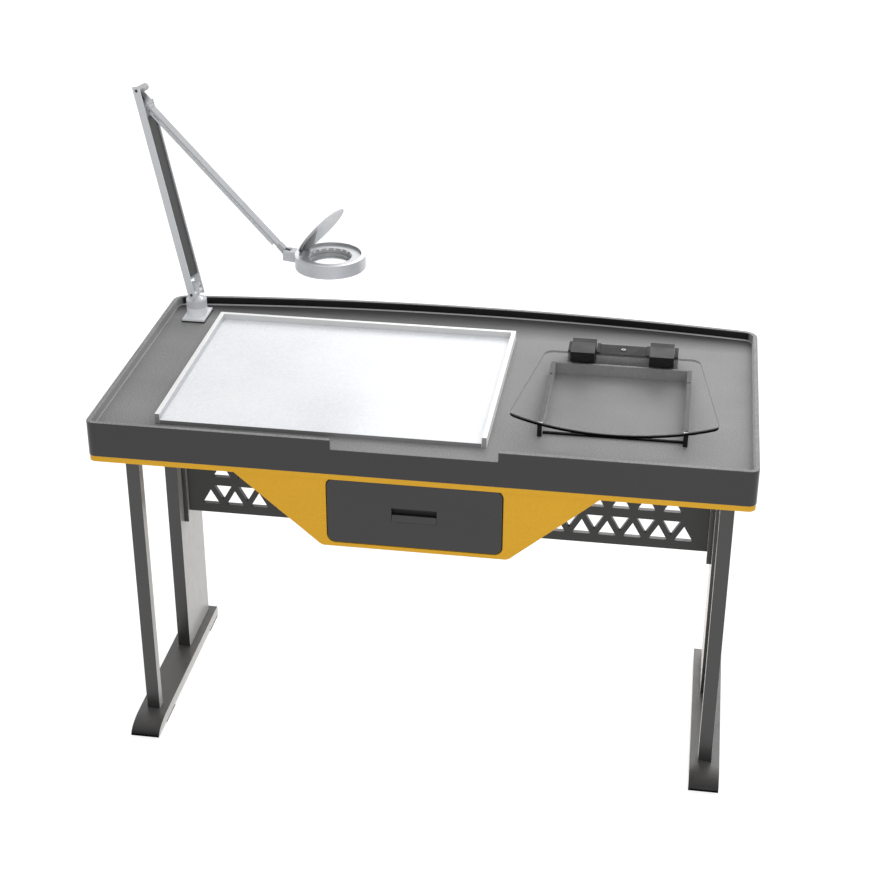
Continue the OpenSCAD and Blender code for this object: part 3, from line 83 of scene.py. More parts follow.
def make_camera():
    forward = Vector((-math.sin(CAMERA_YAW) * math.cos(CAMERA_PITCH),
                      math.cos(CAMERA_YAW) * math.cos(CAMERA_PITCH),
                      math.sin(CAMERA_PITCH)))
    right = Vector((math.cos(CAMERA_YAW), math.sin(CAMERA_YAW), 0))
    up = right.cross(forward)
    tilt = Matrix.Rotation(-CAMERA_ROLL, 3, forward)
    right, up = tilt @ right, tilt @ up
    data = bpy.data.cameras.new("camera")
    data.lens = CAMERA_LENS
    data.sensor_width = SENSOR_WIDTH
    camera = bpy.data.objects.new("camera", data)
    turn = Matrix((right, up, -forward)).transposed()
    camera.matrix_world = Matrix.Translation(CAMERA_PLACE) @ turn.to_4x4()
    bpy.context.scene.collection.objects.link(camera)
    bpy.context.scene.camera = camera


# Stage: white world, white floor that keeps the shadow, soft boxes
AMBIENT = 0.64
FLOOR_SIZE = 14.0
FLOOR_CELLS = 8
FLOOR_DROP = 0.4 * MM
FLOOR_WHITE = (0.8, 0.8, 0.8, 1.0)
FLOOR_SHADE = (0.35, 0.35, 0.35, 1.0)
FLOOR_GLOW = 0.82


def seen_directly(tree):
    """1 for rays from the camera, from mirror-like faces and through glass."""
    path = tree.nodes.new("ShaderNodeLightPath")
    total = path.outputs["Is Camera Ray"]
    for ray in ("Is Glossy Ray", "Is Transmission Ray"):
        highest = tree.nodes.new("ShaderNodeMath")
        highest.operation = "MAXIMUM"
        tree.links.new(total, highest.inputs[0])
        tree.links.new(path.outputs[ray], highest.inputs[1])
        total = highest.outputs[0]
    return total


def make_world():
    world = bpy.data.worlds.new("studio")
    world.use_nodes = True
    tree = world.node_tree
    background = tree.nodes["Background"]
    background.inputs["Color"].default_value = (1, 1, 1, 1)
    strength = tree.nodes.new("ShaderNodeMapRange")
    tree.links.new(seen_directly(tree), strength.inputs["Value"])
    strength.inputs["To Min"].default_value = AMBIENT
    strength.inputs["To Max"].default_value = 1.0
    tree.links.new(strength.outputs["Result"], background.inputs["Strength"])
    bpy.context.scene.world = world


def floor_material():
    """A pale floor for bounced light, and a white one with the object's shadow for what is seen."""
    mat = bpy.data.materials.new("floor")
    mat.use_nodes = True
    tree = mat.node_tree
    tree.nodes.remove(tree.nodes["Principled BSDF"])
    plain = tree.nodes.new("ShaderNodeBsdfDiffuse")
    plain.inputs["Color"].default_value = FLOOR_WHITE
    shade = tree.nodes.new("ShaderNodeBsdfDiffuse")
    shade.inputs["Color"].default_value = FLOOR_SHADE
    glow = tree.nodes.new("ShaderNodeEmission")
    glow.inputs["Strength"].default_value = FLOOR_GLOW
    white = tree.nodes.new("ShaderNodeAddShader")
    tree.links.new(shade.outputs[0], white.inputs[0])
    tree.links.new(glow.outputs[0], white.inputs[1])
    pick = tree.nodes.new("ShaderNodeMixShader")
    tree.links.new(seen_directly(tree), pick.inputs["Fac"])
    tree.links.new(plain.outputs[0], pick.inputs[1])
    tree.links.new(white.outputs[0], pick.inputs[2])
    tree.links.new(pick.outputs[0], tree.nodes["Material Output"].inputs["Surface"])
    return mat


def make_floor():
    bm = bmesh.new()
    bmesh.ops.create_grid(bm, x_segments=FLOOR_CELLS, y_segments=FLOOR_CELLS, size=FLOOR_SIZE / 2)
    mesh = bpy.data.meshes.new("floor")
    bm.to_mesh(mesh)
    bm.free()
    mesh.materials.append(floor_material())
    floor = bpy.data.objects.new("floor", mesh)
    floor.location.z = -FLOOR_DROP
    bpy.context.scene.collection.objects.link(floor)


def soft_box(name, place, target, size, power):
    data = bpy.data.lights.new(name, "AREA")
    data.shape = "RECTANGLE"
    data.size, data.size_y = size
    data.energy = power
    lamp = bpy.data.objects.new(name, data)
    lamp.location = place
    lamp.visible_camera = False
    lamp.rotation_mode = "QUATERNION"
    lamp.rotation_quaternion = (Vector(target) - Vector(place)).to_track_quat("-Z", "Y")
    bpy.context.scene.collection.objects.link(lamp)


# Materials: a grain is in cells per metre, and a dent is its depth in metres
FINE_GRAIN = 900.0
SPECKLE = 700.0
COAT_GRAIN = 500.0
COARSE_GRAIN = 420.0
SMOOTH_DENT = 0.006 * MM
FAINT_DENT = 0.02 * MM
FINE_DENT = 0.06 * MM
COAT_DENT = 0.08 * MM
COARSE_DENT = 0.1 * MM

# A face counts as turned to a direction from the first cosine to the second
LEVEL_TURN = (0.6, 0.95)
FACE_TURN = (0.6, 0.9)
WALL_TURN = (0.5, 0.8)
END_TURN = (0.5, 0.9)
EDGE_TURN = (0.35, 0.75)
UNDER_TURN = (-0.2, -0.3)
SLOPE_TURN = (0.3, 0.8)

# Noise keeps mostly between these two numbers, and clouds closer to its middle
NOISE_LOW = 0.3
NOISE_HIGH = 0.7
CLOUD_RANGE = (0.35, 0.65)
CLOUD_SCALE = 8.0
CLOUD_SPECKLE = 0.8

# The Mix node's sockets for colours
MIX_FIRST = 6
MIX_SECOND = 7
MIX_RESULT = 2


class Finish:
    """A procedural material with a few helpers for its nodes."""

    def __init__(self, name):
        self.mat = bpy.data.materials.new(name)
        self.mat.use_nodes = True
        self.tree = self.mat.node_tree
        self.shader = self.tree.nodes["Principled BSDF"]
        self.place = self.tree.nodes.new("ShaderNodeTexCoord")
        self.tone = None

    def set(self, **values):
        """Sets the shader's own sockets, named with _ for each space."""
        for name, value in values.items():
            self.shader.inputs[name.replace("_", " ")].default_value = value
        return self

    def link(self, output, socket):
        self.tree.links.new(output, self.shader.inputs[socket])

    def feed(self, socket, value):
        """Gives a socket a link or a constant."""
        if hasattr(value, "links"):
            self.tree.links.new(value, socket)
        else:
            socket.default_value = value

    def math(self, operation, first, second=0.0):
        node = self.tree.nodes.new("ShaderNodeMath")
        node.operation = operation
        self.feed(node.inputs[0], first)
        self.feed(node.inputs[1], second)
        return node.outputs[0]

    def both(self, first, second):
        """1 where two masks are 1."""
        return self.math("MULTIPLY", first, second)

    def blend(self, first, second, share):
        """A mean of two numbers with this share of the second."""
        return self.math("ADD", self.math("MULTIPLY", first, 1 - share),
                         self.math("MULTIPLY", second, share))

    def vector(self, operation, first, second):
        node = self.tree.nodes.new("ShaderNodeVectorMath")
        node.operation = operation
        self.feed(node.inputs[0], first)
        self.feed(node.inputs[1], second)
        return node.outputs

    def noise(self, scale, detail=2.0, stretch=(1, 1, 1)):
        node = self.tree.nodes.new("ShaderNodeTexNoise")
        node.inputs["Scale"].default_value = scale
        node.inputs["Detail"].default_value = detail
        place = self.vector("MULTIPLY", self.place.outputs["Object"], stretch)["Vector"]
        self.tree.links.new(place, node.inputs["Vector"])
        return node.outputs["Fac"]

    def fit(self, value, low, high, start=NOISE_LOW, end=NOISE_HIGH):
        """Low to high as a value goes from start to end, and no further."""
        node = self.tree.nodes.new("ShaderNodeMapRange")
        self.tree.links.new(value, node.inputs["Value"])
        node.inputs["From Min"].default_value = start
        node.inputs["From Max"].default_value = end
        node.inputs["To Min"].default_value = low
        node.inputs["To Max"].default_value = high
        return node.outputs["Result"]

    def between(self, mask, low, high):
        """Low where a mask is 0, high where it is 1."""
        return self.fit(mask, low, high, 0.0, 1.0)

    def mix(self, factor, first, second):
        node = self.tree.nodes.new("ShaderNodeMix")
        node.data_type = "RGBA"
        self.tree.links.new(factor, node.inputs["Factor"])
        self.feed(node.inputs[MIX_FIRST], first)
        self.feed(node.inputs[MIX_SECOND], second)
        return node.outputs[MIX_RESULT]

    def base(self, colour):
        """Makes a colour the surface's own."""
        self.tone = colour
        self.link(colour, "Base Color")

    def paint(self, mask, colour):
        """Lays a colour over the surface's own where the mask is 1."""
        self.base(self.mix(mask, self.tone, colour))

    def turn(self, direction):
        """The cosine between a face and a direction of the piece."""
        return self.vector("DOT_PRODUCT", self.place.outputs["Normal"], tuple(direction))["Value"]

    def facing(self, direction, start, end):
        """0 to 1 as a face turns towards a direction of the piece."""
        return self.fit(self.turn(direction), 0.0, 1.0, start, end)

    def sideways(self):
        """1 on faces to the left and right, 0 on the others."""
        return self.fit(self.math("ABSOLUTE", self.turn(RIGHT)), 0.0, 1.0, *FACE_TURN)

    def upright(self):
        """1 on upright faces, 0 on level ones."""
        return self.fit(self.math("ABSOLUTE", self.turn(UP)), 1.0, 0.0, *SLOPE_TURN)

    def along(self, direction, origin, start, end):
        """0 to 1 from start to end, in metres from an origin along a direction of the piece."""
        offset = self.vector("SUBTRACT", self.place.outputs["Object"], tuple(origin))["Vector"]
        reach = self.vector("DOT_PRODUCT", offset, tuple(direction))["Value"]
        return self.fit(reach, 0.0, 1.0, start, end)

    def beyond(self, point, start, end, axes=(1, 1, 1)):
        """0 to 1 from start to end, in metres from a point, or with axes (1, 1, 0) from an upright line."""
        offset = self.vector("SUBTRACT", self.place.outputs["Object"], tuple(point))["Vector"]
        offset = self.vector("MULTIPLY", offset, axes)["Vector"]
        reach = self.vector("LENGTH", offset, tuple(ORIGIN))["Value"]
        return self.fit(reach, 0.0, 1.0, start, end)

    def bump(self, height, strength, depth):
        node = self.tree.nodes.new("ShaderNodeBump")
        node.inputs["Strength"].default_value = strength
        node.inputs["Distance"].default_value = depth
        self.tree.links.new(height, node.inputs["Height"])
        self.link(node.outputs["Normal"], "Normal")

    def clouds(self, colour, spread, fine=SPECKLE):
        """The colour with slow clouds and a fine speckle of it, lighter and darker by spread."""
        slow = self.noise(CLOUD_SCALE, detail=3.0)
        cover = self.blend(slow, self.noise(fine), CLOUD_SPECKLE)
        return self.mix(self.fit(cover, 0.0, 1.0, *CLOUD_RANGE),
                        scaled(colour, 1 - spread), scaled(colour, 1 + spread))


PATCH_SCALE = 40.0
PATCH_GLOSSIER = -0.05
PATCH_DULLER = 0.06
GRAIN_STRENGTH = 0.35


def grained(finish, rough, grain, dent):
    """Gives a finish slow patches of gloss and a fine spark-eroded grain."""
    patches = finish.fit(finish.noise(PATCH_SCALE, detail=4.0), PATCH_GLOSSIER, PATCH_DULLER)
    finish.link(finish.math("ADD", patches, rough), "Roughness")
    finish.bump(finish.noise(grain, detail=3.0), GRAIN_STRENGTH, dent)
    return finish


FINE_SPECKLE = 630.0


def moulded(name, colour, rough=0.42, spread=0.12, dent=FINE_DENT):
    """Moulded plastic, or metal with a satin paint."""
    finish = Finish(name)
    finish.base(finish.clouds(colour, spread, FINE_SPECKLE))
    return grained(finish, rough, FINE_GRAIN, dent)


SIDE_ROUGH = 0.28
TOP_ROUGH = 0.66
SIDE_SPREAD = 0.12
TOP_SPREAD = 0.3


def painted_top_light(name, side, top, rough=SIDE_ROUGH):
    """Moulded plastic whose level faces are duller and more speckled than its sides, in a colour of their
    own that is painted light where it is paler.
    """
    finish = Finish(name)
    finish.level = finish.facing(UP, *LEVEL_TURN)
    finish.base(finish.clouds(side, SIDE_SPREAD, COARSE_GRAIN))
    # Painted light: a paler colour on the level faces stands in for the sheen they catch
    finish.paint(finish.level, finish.clouds(top, TOP_SPREAD, COARSE_GRAIN))
    return grained(finish, finish.between(finish.level, rough, TOP_ROUGH), COARSE_GRAIN, COARSE_DENT)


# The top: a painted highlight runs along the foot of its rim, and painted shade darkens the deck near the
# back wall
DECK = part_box("light_frame")[0].z
FOOT_BAND = 3.5 * MM
FOOT_BAND_FULL = 2.8 * MM
SHADE_REACH = 110 * MM
SHADE_FULL = 44 * MM
BACK_REACH = 150 * MM
SIDE_REACH = 50 * MM
REACH_FADE = 10 * MM
SHELL_SIDE = grey(36)
SHELL_TOP_LIT = grey(134)
SHELL_SHADED = grey(58)
BACK_WALL_SHADE = grey(8)
BACK_FOOT_HIGHLIGHT = grey(180)
SIDE_WALL_LIT = grey(136)
SIDE_FOOT_HIGHLIGHT = grey(165)


def rim_wall(finish, inward, corner, reach):
    """1 on faces that look inward, within reach of the rim behind them."""
    return finish.both(finish.facing(inward, *WALL_TURN),
                       finish.along(-inward, corner, -reach, REACH_FADE - reach))


def shell_finish():
    """The top's plastic: level faces painted paler for their sheen, side walls painted with light, the back
    wall painted black with shade, painted shade on the deck near it, and a painted highlight along the
    walls' foot.
    """
    finish = painted_top_light("shell_grain", SHELL_SIDE, SHELL_TOP_LIT)
    low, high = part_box("top_shell")
    back = rim_wall(finish, FRONT, high, BACK_REACH)
    sides = finish.math("MAXIMUM", rim_wall(finish, RIGHT, low, SIDE_REACH),
                        rim_wall(finish, -RIGHT, high, SIDE_REACH))
    foot = finish.along(UP, UP * DECK, FOOT_BAND, FOOT_BAND_FULL)
    near_back = finish.along(-FRONT, high, -SHADE_REACH, -SHADE_FULL)
    # Painted shade on the deck near the back wall, a black painted shade on the back wall, painted light on
    # the side walls, and a painted highlight along the foot of the walls
    finish.paint(finish.both(near_back, foot), finish.clouds(SHELL_SHADED, spread=0.2, fine=COARSE_GRAIN))
    finish.paint(back, finish.clouds(BACK_WALL_SHADE, spread=0.2))
    finish.paint(sides, finish.clouds(SIDE_WALL_LIT, spread=0.1))
    finish.paint(finish.both(foot, sides), finish.clouds(SIDE_FOOT_HIGHLIGHT, spread=0.1))
    finish.paint(finish.both(foot, back), finish.clouds(BACK_FOOT_HIGHLIGHT, spread=0.1))
    dull = finish.math("MAXIMUM", finish.level, sides)
    finish.link(finish.between(dull, SIDE_ROUGH, TOP_ROUGH), "Roughness")
    return finish.set(Sheen_Weight=0.5, Sheen_Roughness=0.25)


RAIL_SIDE_LIT = grey(165)
RAIL_TOP = grey(100)
RAIL_END_SHADE = grey(4)


def rail_finish():
    """The tray's rails: sides painted pale as light against their shade, a greyer top, and front ends
    painted black as shade.
    """
    finish = Finish("rail_grain")
    finish.base(finish.clouds(RAIL_SIDE_LIT, spread=0.15, fine=COARSE_GRAIN))
    finish.paint(finish.facing(UP, *WALL_TURN), finish.clouds(RAIL_TOP, spread=0.2, fine=COARSE_GRAIN))
    finish.paint(finish.facing(FRONT, *WALL_TURN), finish.clouds(RAIL_END_SHADE, spread=0.2))
    return grained(finish, TOP_ROUGH, COARSE_GRAIN, COARSE_DENT).set(Specular_IOR_Level=0.25)


PEEL_PATCHES = 25.0
PEEL_GLOSSIER = -0.05
PEEL_DULLER = 0.07
PEEL_STRENGTH = 0.3
PEEL_SPREAD = 0.06


def powder_coat(name, colour, rough):
    """Powder coat on sheet metal: an orange-peel surface and faint clouds."""
    finish = Finish(name)
    finish.base(finish.clouds(colour, PEEL_SPREAD, COAT_GRAIN))
    patches = finish.noise(PEEL_PATCHES, detail=3.0)
    finish.link(finish.fit(patches, rough + PEEL_GLOSSIER, rough + PEEL_DULLER), "Roughness")
    finish.bump(finish.noise(COARSE_GRAIN, detail=1.5), PEEL_STRENGTH, COAT_DENT)
    return finish


PAINTED_COAT_ROUGH = 0.36


def coat_with_painted_light(name, colour, low_colour, flank, low, high):
    """Dark powder coat with painted shade, darker near the floor from height low up to height high, and
    painted light that makes its flanks paler.
    """
    finish = Finish(name)
    finish.fade = finish.along(UP, ORIGIN, low, high)
    finish.base(finish.clouds(low_colour, spread=0.2, fine=COAT_GRAIN))
    finish.paint(finish.fade, finish.clouds(colour, spread=0.1, fine=COAT_GRAIN))
    finish.paint(finish.sideways(), finish.clouds(flank, spread=0.1, fine=COAT_GRAIN))
    return grained(finish, PAINTED_COAT_ROUGH, COARSE_GRAIN, COAT_DENT)


def leg_finish():
    """Lacquered dark coat with a soft sheen at a flat angle."""
    # Painted shade darkens the legs near the floor, and painted light pales their flanks
    finish = coat_with_painted_light("leg_coat", colour=grey(32), low_colour=grey(22), flank=grey(120),
                          low=30 * MM, high=300 * MM)
    return finish.set(Coat_Weight=0.6, Coat_Roughness=0.25, Sheen_Weight=1.0, Sheen_Roughness=0.3)


def foot_finish():
    """The legs' coat on a foot, with painted shade that blackens it towards the floor and painted light on
    its flanks.
    """
    finish = coat_with_painted_light("foot_coat", colour=grey(78), low_colour=grey(8), flank=grey(180),
                          low=6 * MM, high=26 * MM)
    # Metal near the floor, so that its near-black colour darkens its reflections too: more painted shade
    finish.link(finish.between(finish.fade, 1.0, 0.0), "Metallic")
    return finish.set(Sheen_Weight=0.6, Sheen_Roughness=0.3)


LINE_SCALE = 14.0
LINE_GLOSSIER = -0.06
LINE_DULLER = 0.1
LINE_STRENGTH = 0.05
LINE_SPREAD = 0.07


def brushed(name, colour, rough, metallic=0.85, stretch=(40, 40, 3)):
    """Satin metal with fine lines along the direction that is stretched least."""
    finish = Finish(name)
    lines = finish.noise(LINE_SCALE, detail=6.0, stretch=stretch)
    finish.base(finish.mix(finish.fit(lines, 0.0, 1.0), scaled(colour, 1 - LINE_SPREAD),
                           scaled(colour, 1 + LINE_SPREAD)))
    finish.link(finish.fit(lines, rough + LINE_GLOSSIER, rough + LINE_DULLER), "Roughness")
    finish.bump(lines, LINE_STRENGTH, FAINT_DENT)
    return finish.set(Metallic=metallic)


RUBBER_SPECKLE = 1200.0
RUBBER_GRAIN = 1500.0
RUBBER_PATCHES = 60.0
RUBBER_ROUGH = (0.6, 0.78)
RUBBER_STRENGTH = 0.4


def rubber(name, colour):
    finish = Finish(name)
    finish.base(finish.clouds(colour, spread=0.25, fine=RUBBER_SPECKLE))
    finish.link(finish.fit(finish.noise(RUBBER_PATCHES, detail=3.0), *RUBBER_ROUGH), "Roughness")
    finish.bump(finish.noise(RUBBER_GRAIN), RUBBER_STRENGTH, COAT_DENT)
    return finish


FRAME_WHITE = grey(247)
FRAME_FRONT_SHADE = grey(200)
FRAME_ENDS_SHADE = grey(142)
FRAME_INSIDE_SHADE = srgb(190, 192, 196)
FRAME_ENDS_FROM = 120 * MM
FRAME_LEFT_REACH = 60 * MM


def frame_finish():
    """White plastic with painted shade: greyer on its front faces, greyer still on the front ends of the
    side bars, and on the inner face of the left bar.
    """
    finish = Finish("white_frame")
    ends = finish.along(FRONT, ORIGIN, FRAME_ENDS_FROM, FRAME_ENDS_FROM + REACH_FADE)
    front = finish.mix(ends, finish.clouds(FRAME_FRONT_SHADE, spread=0.04),
                       finish.clouds(FRAME_ENDS_SHADE, spread=0.06))
    inside = finish.both(finish.facing(RIGHT, *END_TURN),
                         finish.along(-RIGHT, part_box("light_frame")[0], -FRAME_LEFT_REACH,
                                      REACH_FADE - FRAME_LEFT_REACH))
    finish.base(finish.clouds(FRAME_WHITE, spread=0.02))
    finish.paint(finish.facing(FRONT, *END_TURN), front)
    finish.paint(inside, finish.clouds(FRAME_INSIDE_SHADE, spread=0.06))
    return grained(finish, rough=0.35, grain=FINE_GRAIN, dent=FAINT_DENT)


FROST_SCALE = 230.0
FROST_SHARE = 0.6
FROST_RANGE = (0.36, 0.62)
FROST_LEAST = 0.3
FROST_ROUGH = (0.3, 0.45)
FROST_STRENGTH = 0.2
FROST_DENT = 0.05 * MM
OPAL_CLOUDS = 4.0
OPAL_SHADE_TO_RIGHT = 0.3
OPAL_LEFT = -450 * MM
OPAL_RIGHT = 120 * MM
OPAL_DARK = srgb(226, 230, 235)
OPAL_PALE = srgb(249, 250, 252)
OPAL_EDGE_SHADE = grey(118)


def opal_finish():
    """Opal light panel: a faint mottled frost with painted shade growing towards the right, against the
    stronger light there, so that it is palest at the left, and painted shade on its front edge.
    """
    finish = Finish("opal_panel")
    frost = finish.noise(FROST_SCALE, detail=3.0)
    cover = finish.blend(finish.noise(OPAL_CLOUDS), frost, FROST_SHARE)
    across = finish.along(RIGHT, ORIGIN, OPAL_LEFT, OPAL_RIGHT)
    mottle = finish.math("SUBTRACT", finish.fit(cover, FROST_LEAST, 1.0, *FROST_RANGE),
                         finish.math("MULTIPLY", across, OPAL_SHADE_TO_RIGHT))
    finish.base(finish.mix(mottle, OPAL_DARK, OPAL_PALE))
    finish.paint(finish.facing(FRONT, *END_TURN), OPAL_EDGE_SHADE)
    finish.link(finish.fit(frost, *FROST_ROUGH), "Roughness")
    finish.bump(frost, FROST_STRENGTH, FROST_DENT)
    return finish


SMEAR_SCALE = 9.0
SMEAR_ALPHA = 0.3
SMEAR_ROUGH = 0.5
GLASS_IOR = 1.5


def clear_finish(name, tint, alpha, side, side_alpha, front=None, front_alpha=None, rough=0.04):
    """Clear sheet: almost nothing on its faces, a line on its sides and on its front edge."""
    finish = Finish(name)
    at_side = finish.upright()
    at_front = finish.facing(FRONT, *EDGE_TURN)
    smear = finish.noise(SMEAR_SCALE, detail=4.0)
    edge_alpha = finish.between(at_front, side_alpha, front_alpha or side_alpha)
    face_alpha = finish.fit(smear, alpha * (1 - SMEAR_ALPHA), alpha * (1 + SMEAR_ALPHA))
    finish.alpha = finish.math("MAXIMUM", face_alpha, finish.math("MULTIPLY", at_side, edge_alpha))
    finish.link(finish.alpha, "Alpha")
    finish.base(finish.mix(at_side, tint, finish.mix(at_front, side, front or side)))
    finish.link(finish.fit(smear, rough * (1 - SMEAR_ROUGH), rough * (1 + SMEAR_ROUGH)), "Roughness")
    return finish.set(IOR=GLASS_IOR)


GLASS_BOW = 57 * MM
GLASS_BORDER = 3.5 * MM
BORDER_FULL = 2.8 * MM
BORDER_BLACK = grey(4)


def glass_finish():
    """The cover's glass, with a black border along its bowed front edge."""
    finish = clear_finish("clear_glass", grey(125), alpha=0.02, side=grey(140), side_alpha=0.5,
                          front=BORDER_BLACK, front_alpha=0.5, rough=0.3)
    low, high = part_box("cover_glass")
    half = (high.x - low.x) / 2
    radius = (half ** 2 + GLASS_BOW ** 2) / (2 * GLASS_BOW)
    centre = Vector(((low.x + high.x) / 2, low.y + radius, (low.z + high.z) / 2))
    border = finish.beyond(centre, radius - GLASS_BORDER, radius - BORDER_FULL)
    finish.link(finish.math("MAXIMUM", finish.alpha, border), "Alpha")
    finish.paint(border, BORDER_BLACK)
    return finish.set(Specular_IOR_Level=0.05)


KNUCKLE_BLACK = grey(18)
KNUCKLE_TOP_LIT = grey(52)
KNUCKLE_SEAM = 102.5 * MM
SEAM_FADE = 0.5 * MM


def knuckle_finish():
    """Black hinge block whose level top is painted grey with light in front of a seam from left to right.
    """
    finish = Finish("hinge_block")
    top = finish.both(finish.facing(UP, *LEVEL_TURN),
                      finish.along(FRONT, ORIGIN, -KNUCKLE_SEAM, SEAM_FADE - KNUCKLE_SEAM))
    finish.base(finish.clouds(KNUCKLE_BLACK, spread=0.2))
    finish.paint(top, finish.clouds(KNUCKLE_TOP_LIT, spread=0.15))
    return grained(finish, rough=0.6, grain=FINE_GRAIN, dent=FINE_DENT).set(Specular_IOR_Level=0.2)


BAR_DARK = grey(20)
BAR_FRONT = grey(150)
BAR_PLATE = 2.5 * MM
BAR_FADE = 0.3 * MM


def bar_finish():
    """Dark hinge bar, paler on its front below the thickness of its plate."""
    finish = Finish("hinge_bar")
    front = finish.both(finish.facing(FRONT, *FACE_TURN),
                        finish.along(-UP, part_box("hinge_bar")[1], BAR_PLATE, BAR_PLATE + BAR_FADE))
    finish.base(finish.clouds(BAR_DARK, spread=0.12))
    finish.paint(front, finish.clouds(BAR_FRONT, spread=0.15, fine=COARSE_GRAIN))
    return grained(finish, rough=0.65, grain=FINE_GRAIN, dent=FINE_DENT).set(Specular_IOR_Level=0.2)


LID_REACH = 57 * MM
LID_SILVER = srgb(216, 218, 221)
LID_SHADE_LIGHT = grey(150)
LID_SHADE_DEEP = grey(60)
LEAF_EDGE = 17 * MM
LEAF_FADE = 0.2 * MM
LEAF_END = 50 * MM
LEAF_TURN = math.radians(53)


def lid_finish():
    """Silver lid; painted shade darkens its underside from the stiffener's edge towards the hinge."""
    hinge = JOINTS["lid_hinge"]
    axis = -Vector(hinge["axis"])
    across = UP.cross(axis)
    opened = math.radians(-hinge["range_deg"][0])
    outward = -across * math.cos(opened) + UP * math.sin(opened)
    above = UP * math.cos(opened) + across * math.sin(opened)
    middle = Vector(hinge["pos_m"]) + outward * LID_REACH
    inward = -outward * math.cos(LEAF_TURN) - axis * math.sin(LEAF_TURN)
    finish = Finish("silver_lid")
    leaf = finish.both(finish.facing(above, *UNDER_TURN),
                       finish.along(inward, middle, LEAF_EDGE - LEAF_FADE, LEAF_EDGE))
    shade = finish.mix(finish.along(inward, middle, LEAF_EDGE, LEAF_END),
                       finish.clouds(LID_SHADE_LIGHT, spread=0.06), finish.clouds(LID_SHADE_DEEP, spread=0.1))
    finish.base(finish.clouds(LID_SILVER, spread=0.04))
    finish.paint(leaf, shade)
    return grained(finish, rough=0.42, grain=FINE_GRAIN, dent=FAINT_DENT)


ARM_SATIN = srgb(172, 174, 177)
TONGUE_SHADOW = grey(30)
ROOT_SHADE = grey(48)
ROOT_SIDE = 10 * MM
ROOT_ALONG = 15 * MM
ROOT_FADE = (6 * MM, 18 * MM)
TONGUE_FADE = (12.5 * MM, 13.5 * MM)


def arm_finish():
    """Satin silver with a painted shadow on the tongue in the neck and painted shade on the root at the
    elbow's near side.
    """
    finish = moulded("arm_silver", ARM_SATIN, rough=0.5, spread=0.04, dent=SMOOTH_DENT)
    neck = Vector(JOINTS["head_tilt"]["pos_m"])
    elbow = Vector(JOINTS["elbow"]["pos_m"])
    side = Vector(JOINTS["elbow"]["axis"])
    near = elbow + (neck - elbow).normalized() * ROOT_ALONG - side * math.copysign(ROOT_SIDE, side.y)
    body = finish.mix(finish.beyond(neck, *TONGUE_FADE), TONGUE_SHADOW, finish.tone)
    finish.base(finish.mix(finish.beyond(near, *ROOT_FADE), ROOT_SHADE, body))
    return finish.set(Specular_IOR_Level=0.3)


HEAD_RECESS = 61.5 * MM
RECESS_FADE = 0.5 * MM
HEAD_SIDE = srgb(190, 192, 196)
HEAD_TOP_LIT = srgb(222, 224, 228)
RECESS_FLOOR_SHADE = srgb(182, 184, 188)
RECESS_WALL_SHADE = grey(168)
RECESS_SPECKLE = 300.0


def head_finish():
    """Satin silver head: level faces painted pale with light, and painted shade on the floor of the recess
    and on the walls inside the recess and the bore.
    """
    finish = Finish("silver_head")
    low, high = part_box("lens")
    outside = finish.beyond((low + high) / 2, HEAD_RECESS - RECESS_FADE, HEAD_RECESS, (1, 1, 0))
    inside = finish.math("SUBTRACT", finish.upright(), outside)
    level = finish.mix(outside, finish.clouds(RECESS_FLOOR_SHADE, spread=0.05, fine=RECESS_SPECKLE),
                       finish.clouds(HEAD_TOP_LIT, spread=0.03))
    finish.base(finish.clouds(HEAD_SIDE, spread=0.05))
    finish.paint(finish.facing(UP, *FACE_TURN), level)
    finish.paint(inside, finish.clouds(RECESS_WALL_SHADE, spread=0.08))
    return grained(finish, rough=0.34, grain=FINE_GRAIN, dent=FAINT_DENT).set(Metallic=0.3)


# Softened edges on the CAD solids
WELD = 0.01 * MM
FLAT_ANGLE = math.radians(0.6)
EDGE_ANGLE = math.radians(32)


def soften(node, width, segments):
    """Rounds a node's edges with modifiers; its mesh keeps its shape."""
    weld = node.modifiers.new("weld", "WELD")
    weld.merge_threshold = WELD
    flat = node.modifiers.new("flat", "DECIMATE")
    flat.decimate_type = "DISSOLVE"
    flat.angle_limit = FLAT_ANGLE
    bevel = node.modifiers.new("bevel", "BEVEL")
    bevel.width = width * MM
    bevel.segments = segments
    bevel.limit_method = "ANGLE"
    bevel.angle_limit = EDGE_ANGLE
    bevel.use_clamp_overlap = True
    bevel.miter_outer = "MITER_ARC"
    shade = node.modifiers.new("shade", "WEIGHTED_NORMAL")
    shade.keep_sharp = False
    for face in node.data.polygons:
        face.use_smooth = True


def dress(names, finish, width, segments=2):
    """Gives CAD nodes their finish, and edges rounded by a width in millimetres; 0 leaves them sharp."""
    for name in names.split():
        node = NODES[name]
        node.data.materials.clear()
        node.data.materials.append(finish.mat)
        if width:
            soften(node, width, segments)


# Small pieces built here
SHARP_ANGLE = math.radians(35)


def piece(name, bm, finish, body):
    mesh = bpy.data.meshes.new(name)
    bmesh.ops.recalc_face_normals(bm, faces=bm.faces)
    bm.to_mesh(mesh)
    bm.free()
    for face in mesh.polygons:
        face.use_smooth = True
    mesh.set_sharp_from_angle(angle=SHARP_ANGLE)
    mesh.materials.append(finish.mat)
    made = bpy.data.objects.new(name, mesh)
    bpy.context.scene.collection.objects.link(made)
    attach(made, body)
    return made


def block(bm, size, place, rounding):
    """Adds a box with rounded edges, with its middle at the place."""
    made = bmesh.ops.create_cube(bm, size=1.0, matrix=place @ Matrix.Diagonal((*size, 1.0)))
    edges = list({edge for vert in made["verts"] for edge in vert.link_edges})
    bmesh.ops.bevel(bm, geom=edges, offset=rounding, segments=3, profile=0.5, affect="EDGES")


LATHE_STEPS = 36


